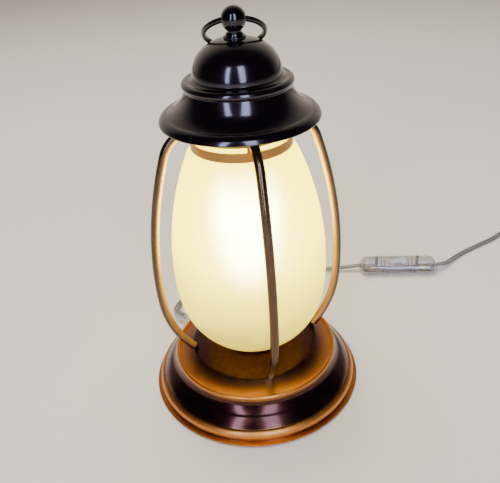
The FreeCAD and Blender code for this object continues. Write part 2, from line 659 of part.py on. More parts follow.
def finial():
    """Ball on a beaded foot, tapped from below and drilled across for the ring."""
    def up(rise):
        return f"({HOOD_TOP} + {rise})"
    seat = f"({BALL} - sqrt(ball_radius^2 - finial_neck^2))"
    piece = turned("finial_turned", [
        ("stud_radius + fit", HOOD_TOP), ("finial_foot", HOOD_TOP), ("finial_foot", up(1.2)),
        ("finial_foot - 1.3", up(1.5)), ("finial_foot - 1.8", up(3.2)), ("finial_neck", up(3.4)),
        ("finial_neck", seat), (0, f"{BALL} + ball_radius"), (0, STUD_TOP), ("stud_radius + fit", STUD_TOP)],
        {1: "-stud_radius / 4", 3: "-stud_radius / 3", 6: "-ball_radius"})
    eye = part_cylinder("finial_eye", "eye_radius", "ball_radius * 2", ("(0 - ball_radius)", 0, BALL),
                        Rotation(Vector(0, 1, 0), 90))
    return cut("finial", piece, eye)


def carrying_ring():
    """Round wire ring through the ball; it rests on the dome behind, ring_rest degrees below level."""
    ring = doc.addObject("Part::Torus", "carrying_ring")
    ring.Label = "carrying_ring"
    ring.setExpression("Radius1", bound("ring_radius"))
    ring.setExpression("Radius2", bound("ring_wire"))
    rest = math.radians(value("ring_rest"))
    # the wire's bend uses both sides of the eye: half its rise over the ball lies on each side of the axis
    reach = value("ring_radius - ball_radius^2 / (4 * ring_radius)")
    ring.Placement = Placement(Vector(0, reach * math.cos(rest), value(BALL) - reach * math.sin(rest)),
                               Rotation(Vector(1, 0, 0), -value("ring_rest")))
    return ring


keep(hood(), finial(), carrying_ring())
# ---------------------------------------------------------------- cord: gland, tubes, coil
FLOOR = 1.4
# the lamp side's route: out of the gland, round behind the base, to the switch
LAMP_ROUTE = [
    (-60.4, 62.6, 8.6), (-68.7, 71.2, 7.2), (-70.7, 84.0, 3.2), (-63.4, 100.4, FLOOR), (-45.0, 116.5, FLOOR),
    (-20.0, 127.5, FLOOR), (10.0, 133.5, FLOOR), (40.0, 134.5, FLOOR), (68.0, 132.0, FLOOR),
    (89.0, 129.8, 3.2), (108.0, 128.0, 6.0)]
# the plug side's route: from the switch away to the right, into the coil
PLUG_ROUTE = [
    (181.0, 121.0, 6.0), (190.5, 122.6, 4.4), (201.0, 133.8, 1.8), (215.5, 145.0, FLOOR),
    (237.0, 157.5, FLOOR), (256.0, 168.0, FLOOR), (273.4, 176.5, FLOOR)]
# from the coil to the plug
TAIL_ROUTE = [(338.2, 139.0, FLOOR), (339.2, 129.0, 1.8), (338.8, 118.5, 4.2), (337.5, 108.0, 6.5)]
COIL_CENTRE = (309.0, 163.0)
# the supply lead inside the base, as (radius, height) along the outlet's azimuth
LEAD_ROUTE = [(67.0, 8.6), (61.5, 13.0), (55.0, 20.5), (44.0, 23.8), (28.0, 25.5), (14.0, 26.5), (4.2, 26.5)]


def tangent_path(route):
    """Straight runs joined by arcs that use 0.45 of the shorter run; returns the wire and the radii."""
    points = [Vector(*point) for point in route]
    edges, radii, start = [], [], points[0]
    for before, corner, after in zip(points, points[1:], points[2:]):
        arriving, leaving = (corner - before), (after - corner)
        reach = 0.45 * min(arriving.Length, leaving.Length)
        turn = arriving.getAngle(leaving)
        radius = reach / math.tan(turn / 2)
        into, out = corner - arriving.normalize() * reach, corner + leaving.normalize() * reach
        inward = (leaving - arriving).normalize()
        middle = corner + inward * (math.hypot(radius, reach) - radius)
        edges += [Part.LineSegment(start, into).toShape(), Part.Arc(into, middle, out).toShape()]
        radii.append(round(radius, 1))
        start = out
    edges.append(Part.LineSegment(start, points[-1]).toShape())
    return Part.Wire(edges), radii


def flat_section(start, ahead, width, thick):
    """Flat twin section, round-ended, lying level across the way that the cord starts."""
    across = Vector(0, 0, 1).cross(ahead).normalize()
    up = ahead.cross(across).normalize()
    side, half = across * (width / 2 - thick / 2), up * (thick / 2)
    edges = [
        Part.LineSegment(start - side + half, start + side + half).toShape(),
        Part.Arc(start + side + half, start + across * (width / 2), start + side - half).toShape(),
        Part.LineSegment(start + side - half, start - side - half).toShape(),
        Part.Arc(start - side - half, start - across * (width / 2), start - side + half).toShape()]
    return Part.Wire(edges)


def round_section(start, ahead, radius):
    return Part.Wire(Part.Circle(start, ahead, radius).toShape())


def swept(label, route, section, area, upright):
    """A cord's solid: the section carried along the route, its upright direction kept."""
    path, radii = tangent_path(route)
    start = Vector(*route[0])
    ahead = (Vector(*route[1]) - start).normalize()
    sweep = Part.BRepOffsetAPI.MakePipeShell(path)
    sweep.setBiNormalMode(upright)
    sweep.add(section(start, ahead))
    sweep.build()
    sweep.makeSolid()
    node = doc.addObject("Part::Feature", label)
    node.Label = label
    node.Shape = sweep.shape()
    fault = abs(node.Shape.Volume / (area * path.Length) - 1)
    print(f"{label}: {path.Length:.1f} mm, radii {radii}, volume off by {fault:.1%}")
    if fault > 0.05:
        raise RuntimeError(f"{label} lost its section")
    return node


def cord_tube(label, route):
    width, thick = value("cord_width"), value("cord_thick")
    area = (width - thick) * thick + math.pi * (thick / 2) ** 2
    return swept(label, route, lambda start, ahead: flat_section(start, ahead, width, thick), area,
                 Vector(0, 0, 1))


def inner_lead():
    radius, angle = value("lead_radius"), math.radians(value("exit_turn"))
    route = [(r * math.cos(angle), r * math.sin(angle), height) for r, height in LEAD_ROUTE]
    return swept("inner_lead", route, lambda start, ahead: round_section(start, ahead, radius),
                 math.pi * radius ** 2, Vector(-math.sin(angle), math.cos(angle), 0))


def cord_gland():
    """Tapered strain relief, from inside the shell outwards."""
    taper = doc.addObject("Part::Cone", "cord_gland")
    taper.Label = "cord_gland"
    taper.setExpression("Radius1", bound("gland_radius"))
    taper.setExpression("Radius2", bound("cord_width / 2 + gap"))
    taper.setExpression("Height", bound("gland_length"))
    taper.Placement = outlet_placement(LEAD_ROUTE[0][0])
    return taper


def cord_coil():
    coil = turned("cord_coil", ring_outline(
        "coil_radius - coil_band / 2", "coil_radius + coil_band / 2", 0, "coil_height"))
    coil.Placement = Placement(Vector(*COIL_CENTRE, 0), Rotation())
    return coil


def coil_tie():
    """Flat band round the coil's turns, on the side away from where the cord runs in."""
    room = "(coil_band + gap * 2)"
    outer = part_box("coil_tie_outer", (f"{room} + tie_wall * 2", "tie_width", "coil_height + gap + tie_wall"),
                     ("coil_radius", 0, 0))
    inner = part_box("coil_tie_inner", (room, "tie_width * 2", "coil_height + gap"), ("coil_radius", 0, 0))
    tie = cut("coil_tie", outer, inner)
    tie.Placement = Placement(Vector(*COIL_CENTRE, 0), Rotation(Vector(0, 0, 1), TIE_TURN))
    return tie


TIE_TURN = -110.0
keep(cord_gland(), inner_lead(), cord_tube("cord_lamp_side", LAMP_ROUTE),
     cord_tube("cord_plug_side", PLUG_ROUTE), cord_coil(), coil_tie(), cord_tube("cord_tail", TAIL_ROUTE))


# ---------------------------------------------------------------- in-line switch, in its own frame along X
def rounded(length, width, radius):
    """Corners and arcs of a rounded rectangle centred on the sketch's origin."""
    across, along = f"({length}) / 2", f"({width}) / 2"
    corners = []
    for sx, sy in ((1, -1), (1, 1), (-1, 1), (-1, -1)):
        flat = (f"{sx} * ({across} - ({radius}))", f"{sy} * ({along})")
        tall = (f"{sx} * ({across})", f"{sy} * ({along} - ({radius}))")
        corners += [flat, tall] if sx * sy < 0 else [tall, flat]
    return corners, {step: f"-({radius})" for step in range(0, 8, 2)}


def pad(body, outline, low, depth, kind="PartDesign::Pad"):
    """Pad, or pocket, of an outline from a level upwards."""
    corners, arcs = outline
    sketch = new_sketch(body, "XY_Plane")
    sketch.setExpression("AttachmentOffset.Base.z", bound(low))
    chain(sketch, corners, arcs)
    feature = body.newObject(kind, "slab")
    feature.Profile = sketch
    feature.setExpression("Length", bound(depth))
    feature.Reversed = kind == "PartDesign::Pocket"
    return feature


def switch_half(label, low, hollow_low):
    """One clear shell of the switch: a rounded slab, hollow on the side where the halves meet."""
    body = new_body(f"{label}_shell")
    pad(body, rounded("switch_length", "switch_width", "switch_width / 3"), low, "switch_height / 2")
    doc.recompute()
    full = body.Shape.Volume
    inner = rounded("switch_length - switch_wall * 2", "switch_width - switch_wall * 2",
                    "switch_width / 3 - switch_wall")
    pad(body, inner, hollow_low, "switch_height / 2 - switch_wall", "PartDesign::Pocket")
    doc.recompute()
    if body.Shape.Volume >= full:
        raise RuntimeError(f"{label} was not hollowed")
    return body


def cord_mouth(label):
    """Slot for the cord through both ends of the switch."""
    return part_box(label, ("switch_length * 1.2", "cord_width + gap", "cord_thick + gap"),
                    (0, 0, "switch_height / 2 - (cord_thick + gap) / 2"))


PIVOT = "(switch_height * 0.75)"
SCREW_REACH = "(switch_length * 0.27)"
SWITCH_PLACE = Placement(Vector(144.5, 124.5, 0), Rotation(Vector(0, 0, 1), -5.5))


def switch_cover():
    """Upper shell with the rocker's window, its two pivot cheeks and the screw holes."""
    shell = switch_half("switch_cover", "switch_height / 2", "switch_height / 2")
    cheeks = [part_box(f"switch_cheek_{side + 1}", ("rocker_width * 0.8", "switch_wall", "switch_height * 0.4"),
                       (0, f"{side} * (rocker_width / 2 + gap * 2 + switch_wall / 2)", "switch_height * 0.55"))
              for side in (-1, 1)]
    body = fuse("switch_cover_cheeked", [shell, *cheeks])
    window = part_box("rocker_window", ("rocker_length + gap * 6", "rocker_width + gap * 2", "switch_height"),
                      (0, 0, "switch_height / 2"))
    bore = part_cylinder("rocker_bore", f"{PIN} + fit", "switch_width * 0.6",
                         (0, "0 - switch_width * 0.3", PIVOT), Rotation(Vector(1, 0, 0), -90))
    cover = cut("switch_cover", body, window, bore, cord_mouth("cover_mouth"), *screw_bores("cover"))
    cover.Placement = SWITCH_PLACE
    return cover


PIN = "(switch_wall * 0.8)"


def screw_bores(label):
    return [part_cylinder(f"{label}_bore_{side + 1}", "screw_radius + fit", "switch_height * 2",
                          (f"{side} * {SCREW_REACH}", "switch_width / 3", "0 - switch_height / 2"))
            for side in (-1, 1)]


def switch_base():
    shell = switch_half("switch_base", "0", "switch_wall")
    base = cut("switch_base", shell, cord_mouth("base_mouth"), *screw_bores("base"))
    base.Placement = SWITCH_PLACE
    return base


def switch_screws():
    """Two screws that pull the halves together, their heads under the base's floor line."""
    screws = [part_cylinder(f"switch_screw_{side + 1}", "screw_radius", "switch_height - gap",
                            (f"{side} * {SCREW_REACH}", "switch_width / 3", "gap / 2")) for side in (-1, 1)]
    node = solids_node("switch_screws", screws)
    node.Placement = SWITCH_PLACE
    return node


def switch_terminals():
    """Brass clamps, two at each end, that hold the conductors."""
    clamps = [part_box(f"terminal_{x + 1}_{y + 1}", ("rocker_width", "cord_thick", "cord_thick * 1.6"),
                       (f"{x} * switch_length * 0.34", f"{y} * cord_width * 0.36", "switch_wall"))
              for x in (-1, 1) for y in (-1, 1)]
    node = solids_node("switch_terminals", clamps)
    node.Placement = SWITCH_PLACE
    return node


def switch_contact():
    """Sprung strip under the rocker, between the terminals of the switched conductor."""
    strip = part_box("switch_contact", ("switch_length * 0.5", "cord_thick", "sleeve_wall"),
                     (0, 0, "switch_wall"))
    strip.Placement = SWITCH_PLACE.multiply(strip.Placement)
    return strip


def switch_rocker():
    """Rocker with a dished top and a pivot pin; it rests pressed down at the lamp's end."""
    body = new_body("rocker_blade")
    sketch = new_sketch(body, "XZ_Plane")
    half = "rocker_length / 2"
    chain(sketch, [(f"0 - {half}", "0 - rocker_width / 4"), (half, "0 - rocker_width / 4"),
                   (half, "switch_height * 0.36"), (f"0 - {half}", "switch_height * 0.36")],
          {2: "rocker_length * 1.6"})
    blade = body.newObject("PartDesign::Pad", "slab")
    blade.Profile = sketch
    blade.setExpression("Length", bound("rocker_width"))
    blade.Midplane = True
    pin = part_cylinder("rocker_pin", PIN, "rocker_width + switch_wall * 2.6",
                        (0, "0 - (rocker_width + switch_wall * 2.6) / 2", 0), Rotation(Vector(1, 0, 0), -90))
    rocker = fuse("switch_rocker", [body, pin])
    tilt = Rotation(Vector(0, 1, 0), -value("rocker_throw"))
    rocker.Placement = SWITCH_PLACE.multiply(Placement(Vector(0, 0, value(PIVOT)), tilt))
    return rocker


keep(switch_base(), switch_cover(), switch_screws(), switch_terminals(), switch_contact(), switch_rocker())

# ---------------------------------------------------------------- plug, in its own frame: the pins point along X
PLUG_PLACE = Placement(Vector(337.5, 108.0, 0), Rotation(Vector(0, 0, 1), -97.0))


def plug_body():
    """Moulded body, narrow where the cord enters and wide at its face."""
    body = new_body("plug_body")
    outline = [(0, "0 - cord_width"), ("plug_length * 0.6", "0 - plug_width / 2"),
               ("plug_length", "0 - plug_width / 2"), ("plug_length", "plug_width / 2"),
               ("plug_length * 0.6", "plug_width / 2"), (0, "cord_width")]
    arcs = {0: "plug_length * 1.2", 4: "plug_length * 1.2"}
    pad(body, (outline, arcs), "0", "plug_height")
    body.Placement = PLUG_PLACE
    return body


def plug_pins():
    pins = [part_cylinder(f"plug_pin_{side + 1}", "pin_radius", "pin_length",
                          ("plug_length", f"{side} * pin_pitch / 2", "plug_height / 2"),
                          Rotation(Vector(0, 1, 0), 90)) for side in (-1, 1)]
    node = solids_node("plug_pins", pins)
    node.Placement = PLUG_PLACE
    return node


keep(plug_body(), plug_pins())

# ---------------------------------------------------------------- checks and export
doc.recompute()
for item in doc.Objects:
    if {"Invalid", "Error"} & set(item.State):
        raise RuntimeError(f"{item.Name} did not compute: {item.State}")
for part in parts:
    if part.Shape.isNull() or not part.Shape.isValid() or not part.Shape.Solids:
        raise RuntimeError(f"{part.Label} is not a valid solid")

os.makedirs("parts", exist_ok=True)
for part in parts:
    part.Shape.exportStep(f"parts/{part.Label}.step")
print(len(parts), "nodes written")
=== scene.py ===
import json
import math

import bpy
import numpy as np
from mathutils import Matrix, Vector


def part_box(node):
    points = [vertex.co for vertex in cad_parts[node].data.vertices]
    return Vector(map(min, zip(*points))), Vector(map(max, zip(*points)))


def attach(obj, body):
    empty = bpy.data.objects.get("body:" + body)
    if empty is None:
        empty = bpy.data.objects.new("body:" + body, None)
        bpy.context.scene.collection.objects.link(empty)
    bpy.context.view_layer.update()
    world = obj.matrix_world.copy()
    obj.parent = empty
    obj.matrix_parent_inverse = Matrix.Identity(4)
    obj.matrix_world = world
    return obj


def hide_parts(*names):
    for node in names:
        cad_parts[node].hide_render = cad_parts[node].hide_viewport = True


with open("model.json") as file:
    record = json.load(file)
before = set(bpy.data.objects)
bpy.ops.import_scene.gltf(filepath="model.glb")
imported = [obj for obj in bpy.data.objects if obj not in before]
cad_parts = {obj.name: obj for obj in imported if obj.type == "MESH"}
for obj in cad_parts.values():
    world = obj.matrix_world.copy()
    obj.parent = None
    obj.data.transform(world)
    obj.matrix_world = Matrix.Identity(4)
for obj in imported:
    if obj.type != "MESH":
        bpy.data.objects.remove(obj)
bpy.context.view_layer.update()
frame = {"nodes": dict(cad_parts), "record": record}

MM = 0.001
SMOOTH_ANGLE = math.radians(38)


def levels(node):
    """A node's lowest and highest level, in millimetres."""
    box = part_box(node)
    return box[0][2] / MM, box[1][2] / MM


def in_scene(name, data):
    """New object in the scene that holds the data."""
    holder = bpy.data.objects.new(name, data)
    bpy.context.scene.collection.objects.link(holder)
    return holder


# ---------------------------------------------------------------- camera
CAMERA_PLACE = Vector((0.0, -0.3608, 0.3392))
PITCH, YAW, ROLL = math.radians(31.3), 0.0031, math.radians(-3.78)
LENS, SENSOR = 43.2, 36.0


def make_camera():
    """Camera that looks down at the lantern, its frame rolled a little about its own axis."""
    ahead = Vector((math.sin(YAW) * math.cos(PITCH), math.cos(YAW) * math.cos(PITCH), -math.sin(PITCH)))
    side = Vector((math.cos(YAW), -math.sin(YAW), 0))
    top = side.cross(ahead)
    across = side * math.cos(ROLL) + top * math.sin(ROLL)
    up = top * math.cos(ROLL) - side * math.sin(ROLL)
    camera = in_scene("camera", bpy.data.cameras.new("camera"))
    camera.data.lens, camera.data.sensor_width, camera.data.clip_start = LENS, SENSOR, 0.01
    camera.matrix_world = Matrix.Translation(CAMERA_PLACE) @ Matrix((across, up, -ahead)).transposed().to_4x4()
    bpy.context.scene.camera = camera


make_camera()


# ---------------------------------------------------------------- mesh by whole arrays
def outward(points, faces):
    """Faces turned so that the solid's volume, the sum of its corner tetrahedra, comes out positive."""
    volume = 0.0
    for face_set in faces:
        first = points[face_set[:, 0]]
        for step in range(1, face_set.shape[1] - 1):
            second, third = points[face_set[:, step]], points[face_set[:, step + 1]]
            volume += np.einsum("ij,ij->", first, np.cross(second, third))
    return [f[:, ::-1] for f in faces] if volume < 0 else faces


def softened(piece):
    """Smooth shading that stops at sharp edges."""
    piece.data.polygons.foreach_set("use_smooth", np.ones(len(piece.data.polygons), bool))
    piece.data.set_sharp_from_angle(angle=SMOOTH_ANGLE)
    return piece


def solid(name, points, faces, keep_winding=False):
    """Object of a mesh: points in millimetres and a list of face arrays, each of one corner count."""
    points = np.asarray(points, float)
    if not keep_winding:
        faces = outward(points, faces)
    mesh = bpy.data.meshes.new(name)
    mesh.from_pydata((points * MM).tolist(), [], [face for f in faces for face in f.tolist()])
    return softened(in_scene(name, mesh))


def grid_faces(rows, columns, wrap_rows=True):
    """Quads of a grid of points numbered row by row, each row a closed hoop."""
    row, column = np.meshgrid(np.arange(rows if wrap_rows else rows - 1), np.arange(columns), indexing="ij")
    nearer, further = row * columns, ((row + 1) % rows) * columns
    right = (column + 1) % columns
    quads = np.stack([nearer + column, nearer + right, further + right, further + column], axis=-1)
    return quads.reshape(-1, 4)


def joined(parts):
    """Several (points, faces) as one pair, each part's face numbers moved on; every part faces outwards."""
    all_points, all_faces, start = [], [], 0
    for points, faces in parts:
        all_faces += [f + start for f in outward(points, faces)]
        all_points.append(points)
        start += len(points)
    return np.concatenate(all_points), all_faces


def around(count):
    """Even angles of a full turn."""
    return np.linspace(0, 2 * math.pi, count, endpoint=False)


def unit(vectors):
    """Each row of an array made one long."""
    return vectors / np.linalg.norm(vectors, axis=1)[:, None]


def arc(start, end, radius, steps):
    """Points from start to end on a circle's arc: its centre is off the chord's middle by the root of the
    radius squared less half the chord squared, and it bulges left of the way for a positive radius."""
    start, end = np.asarray(start, float), np.asarray(end, float)
    chord = end - start
    half = np.hypot(*chord) / 2
    left = np.array([-chord[1], chord[0]]) / (2 * half)
    off_chord = math.sqrt(max(radius * radius - half * half, 0.0))
    centre = (start + end) / 2 - left * math.copysign(off_chord, radius)
    first = math.atan2(*(start - centre)[::-1])
    sweep = -math.copysign(2 * math.asin(min(half / abs(radius), 1.0)), radius)
    angle = first + sweep * np.linspace(0, 1, steps)
    return centre + abs(radius) * np.stack([np.cos(angle), np.sin(angle)], axis=1)


def outline(corners, arcs, steps=14):
    """Line through (radius, height) corners; arcs gives a signed radius by segment number."""
    runs = []
    for number, (start, end) in enumerate(zip(corners, corners[1:])):
        run = arc(start, end, arcs[number], steps) if number in arcs else np.array([start, end], float)
        runs.append(run if number == 0 else run[1:])
    return np.concatenate(runs)


def leaving_radius(inward, along, sine=0.0):
    """Radius of the arc that leaves a line, which leans inwards by the sine, and ends further in and along:
    half the chord squared over the chord's part square to that line."""
    return (inward ** 2 + along ** 2) / (2 * (inward * math.sqrt(1 - sine ** 2) - along * sine))


def rounded_corners(line, size, closed=False, steps=4):
    """Each sharp corner of a line becomes a short curve: a quadratic blend of the corner and its two cuts."""
    line = np.asarray(line, float)
    to_before, to_after = np.roll(line, 1, axis=0) - line, np.roll(line, -1, axis=0) - line
    length_before, length_after = np.linalg.norm(to_before, axis=1), np.linalg.norm(to_after, axis=1)
    cosine = np.einsum("ij,ij->i", to_before, to_after) / np.maximum(length_before * length_after, 1e-9)
    sharp = cosine > -0.93
    if not closed:
        sharp[[0, -1]] = False
    share = np.linspace(0, 1, steps)[:, None]
    pieces = []
    for index, corner in enumerate(line):
        if not sharp[index]:
            pieces.append(corner[None])
            continue
        reach = min(size, length_before[index] * 0.45, length_after[index] * 0.45)
        cut_before = corner + to_before[index] / length_before[index] * reach
        cut_after = corner + to_after[index] / length_after[index] * reach
        pieces.append((1 - share) ** 2 * cut_before + 2 * share * (1 - share) * corner
                      + share ** 2 * cut_after)
    return np.concatenate(pieces)


def sheet_section(line, wall):
    """Closed section of a spun sheet: the outer line, the same line moved in by the wall along its normals, and
    a half circle round each free edge."""
    way = unit(np.gradient(line, axis=0))
    normal = np.stack([-way[:, 1], way[:, 0]], axis=1)
    inner = line + normal * wall
    turn = np.linspace(0, math.pi, 7)[1:-1, None]
    end, start = [(line[index] + inner[index]) / 2 - normal[index] * np.cos(turn) * wall / 2
                  + side * way[index] * np.sin(turn) * wall / 2 for index, side in ((-1, 1), (0, -1))]
    return np.concatenate([line, end, inner[::-1], start[::-1]])


def ring_of(inner, outer, low, high, soften, steps=4):
    """Closed section of a plain ring with softened corners."""
    return rounded_corners([(inner, low), (outer, low), (outer, high), (inner, high)], soften, True, steps)


def closed_tube(hoops, ends):
    """(points, faces) of hoops of points joined in their order, with a fan round a middle point at each end."""
    rows, columns = hoops.shape[:2]
    ring, last, count = np.arange(columns), (rows - 1) * columns, rows * columns
    following = (ring + 1) % columns
    return np.concatenate([hoops.reshape(-1, 3), ends]), [
        grid_faces(rows, columns, wrap_rows=False),
        np.stack([np.full(columns, count), following, ring], axis=1),
        np.stack([np.full(columns, count + 1), last + ring, last + following], axis=1)]


def turned_part(section, turns):
    """(points, faces) of a closed section off the axis, or of an open line whose ends lie on the axis, carried
    round the Z axis: radius times cosine, radius times sine, height."""
    section = np.asarray(section, float)
    on_axis = section[0][0] < 1e-6
    profile = section[1:-1] if on_axis else section
    radius, height = profile[:, 0][:, None], profile[:, 1][:, None]
    angle = around(turns)
    hoops = np.stack([radius * np.cos(angle), radius * np.sin(angle), height + 0 * angle], axis=-1)
    if on_axis:
        return closed_tube(hoops, [[0, 0, section[0][1]], [0, 0, section[-1][1]]])
    return hoops.reshape(-1, 3), [grid_faces(len(profile), turns)]


def turned(name, section, turns=160):
    return solid(name, *turned_part(section, turns))


def carried_part(path, section, up=(0, 0, 1), scale=1.0):
    """(points, faces) of a closed section of (across, above) points carried along a path, its upright kept near
    up and its size scaled along the way."""
    path, section = np.asarray(path, float), np.asarray(section, float)
    way = unit(np.gradient(path, axis=0))
    side = unit(np.cross(way, up))
    lift = np.cross(side, way)
    across, above = (np.outer(scale * np.ones(len(path)), section[:, axis])[..., None] for axis in (0, 1))
    hoops = path[:, None] + across * side[:, None] + above * lift[:, None]
    return closed_tube(hoops, hoops[[0, -1]].mean(axis=1))


def circle_section(radius, count):
    angle = around(count)
    return np.stack([radius * np.cos(angle), radius * np.sin(angle)], axis=1)


def straight(start, end, radius, count=40):
    """Round bar between two points; a list of radii sets the points on it, as (share of the way, radius)."""
    start, end = np.asarray(start, float), np.asarray(end, float)
    share, size = np.array([(0.0, radius), (1.0, radius)] if np.isscalar(radius) else radius).T
    up = (0, 0, 1) if np.any(start[:2] != end[:2]) else (0, 1, 0)
    return carried_part(start + (end - start) * share[:, None], circle_section(1.0, count), up, size)


def moved(part, place=(0, 0, 0), turn=0.0):
    """A part turned about Z by degrees and moved."""
    points, faces = part
    cosine, sine = math.cos(math.radians(turn)), math.sin(math.radians(turn))
    spin = np.array([[cosine, sine, 0], [-sine, cosine, 0], [0, 0, 1]])
    return points @ spin + np.asarray(place, float), faces


def cut_away(piece, *tools):
    """Takes each tool, a (points, faces), out of the piece's mesh with an exact Boolean."""
    for part in tools:
        tool = solid("tool", *part)
        cut = piece.modifiers.new("cut", "BOOLEAN")
        cut.operation, cut.object, cut.solver = "DIFFERENCE", tool, "EXACT"
        mesh = bpy.data.meshes.new_from_object(piece.evaluated_get(bpy.context.evaluated_depsgraph_get()))
        piece.modifiers.clear()
        piece.data = mesh
        bpy.data.objects.remove(tool)
    return softened(piece)


# ---------------------------------------------------------------- materials: node helpers
def put(tree, kind, sockets, **settings):
    """Node of a kind with its settings; a socket's entry is a value or another node's output."""
    node = tree.nodes.new(kind)
    for name, setting in settings.items():
        setattr(node, name, setting)
    for name, entry in sockets.items():
        if isinstance(entry, bpy.types.NodeSocket):
            tree.links.new(entry, node.inputs[name])
        else:
            node.inputs[name].default_value = entry
    return node


def sums(tree, operation, *entries):
    """Math node's output."""
    return put(tree, "ShaderNodeMath", dict(enumerate(entries)), operation=operation).outputs[0]


def between(tree, amount, low, high, from_low=0.0, from_high=1.0):
    """Amount carried smoothly from one range to another."""
    return put(tree, "ShaderNodeMapRange", {
        "Value": amount, "From Min": from_low, "From Max": from_high, "To Min": low, "To Max": high},
        interpolation_type="SMOOTHSTEP").outputs[0]


def mixed(tree, amount, *colours):
    """Colour mixed by an amount between two, each a (red, green, blue) or another node's output."""
    first, second = ((*c, 1) if isinstance(c, tuple) else c for c in colours)
    return put(tree, "ShaderNodeMix", {0: amount, 6: first, 7: second}, data_type="RGBA").outputs[2]


def noise(tree, place, scale, detail, roughness=0.5):
    return put(tree, "ShaderNodeTexNoise", {
        "Vector": place, "Scale": scale, "Detail": detail, "Roughness": roughness}).outputs["Fac"]


def axes_of(tree, place):
    """Distance from the axis, and height."""
    split = put(tree, "ShaderNodeSeparateXYZ", {"Vector": place}).outputs
    flat = put(tree, "ShaderNodeCombineXYZ", {"X": split["X"], "Y": split["Y"]}).outputs[0]
    return put(tree, "ShaderNodeVectorMath", {0: flat}, operation="LENGTH").outputs["Value"], split["Z"]


def new_group(name, inputs, outputs):
    """Shader node group with a place and float inputs (name: default), and float outputs; returns it with its
    inputs' and its outputs' sockets."""
    group = bpy.data.node_groups.new(name, "ShaderNodeTree")
    group.interface.new_socket("Vector", in_out="INPUT", socket_type="NodeSocketVector")
    for title, default in inputs.items():
        socket = group.interface.new_socket(title, in_out="INPUT", socket_type="NodeSocketFloat")
        socket.default_value = default
    for title in outputs:
        group.interface.new_socket(title, in_out="OUTPUT", socket_type="NodeSocketFloat")
    return group, group.nodes.new("NodeGroupInput").outputs, group.nodes.new("NodeGroupOutput").inputs


def cloud_group():
    """Soft patches: noise stretched to a contrast about one half."""
    group, given, result = new_group("patches", {"Size": 40.0, "Contrast": 1.0}, ["Mask"])
    centred = sums(group, "SUBTRACT", noise(group, given["Vector"], given["Size"], 4.0, 0.6), 0.5)
    spread = sums(group, "MULTIPLY_ADD", centred, given["Contrast"], 0.5)
    group.links.new(put(group, "ShaderNodeClamp", {"Value": spread}).outputs[0], result["Mask"])
    return group


def spun_group():
    """Fine turning lines: noise read by distance from the axis and by height only."""
    group, given, result = new_group("turning_lines", {"Fineness": 1400.0}, ["Height"])
    reach, height = axes_of(group, given["Vector"])
    rings = put(group, "ShaderNodeCombineXYZ", {"X": reach, "Z": height}).outputs[0]
    group.links.new(noise(group, rings, given["Fineness"], 2.0), result["Height"])
    return group


def grain_group():
    """Moulded or cast grain: fine noise for height and a slow one for wear."""
    group, given, result = new_group("grain", {"Fineness": 2500.0}, ["Height", "Wear"])
    group.links.new(noise(group, given["Vector"], given["Fineness"], 3.0), result["Height"])
    group.links.new(noise(group, given["Vector"], 60.0, 5.0), result["Wear"])
    return group


PATCHES, TURNING, GRAIN = cloud_group(), spun_group(), grain_group()


def use(tree, group, **sockets):
    """A shared group's outputs, with this material's own values."""
    return put(tree, "ShaderNodeGroup", sockets, node_tree=group).outputs


def start_material(name, **sockets):
    """Material with its Principled shader's plain values set; returns it, its tree, shader and coordinates."""
    material = bpy.data.materials.new(name)
    material.use_nodes = True
    tree = material.node_tree
    shader = tree.nodes["Principled BSDF"].inputs
    for socket, entry in sockets.items():
        shader[socket.replace("_", " ")].default_value = entry
    return material, tree, shader, tree.nodes.new("ShaderNodeTexCoord").outputs["Object"]


def surface(tree, shader, colour, roughness, height, strength, distance):
    """Feeds the shader's colour, its roughness if that varies, and its normal from a height."""
    tree.links.new(colour, shader["Base Color"])
    if roughness:
        tree.links.new(roughness, shader["Roughness"])
    bump = put(tree, "ShaderNodeBump", {"Height": height, "Strength": strength, "Distance": distance})
    tree.links.new(bump.outputs[0], shader["Normal"])


# ---------------------------------------------------------------- finishes
def wear_and_reflection_bands(tree, height, bands):
    """Most of several masks, each full from one height to another and fading over its softness."""
    most = 0.0
    for low, high, soft in bands:
        rise = between(tree, height, 0, 1, (low - soft) * MM, low * MM)
        fall = between(tree, height, 1, 0, high * MM, (high + soft) * MM)
        most = sums(tree, "MAXIMUM", sums(tree, "MULTIPLY", rise, fall), most)
    return most


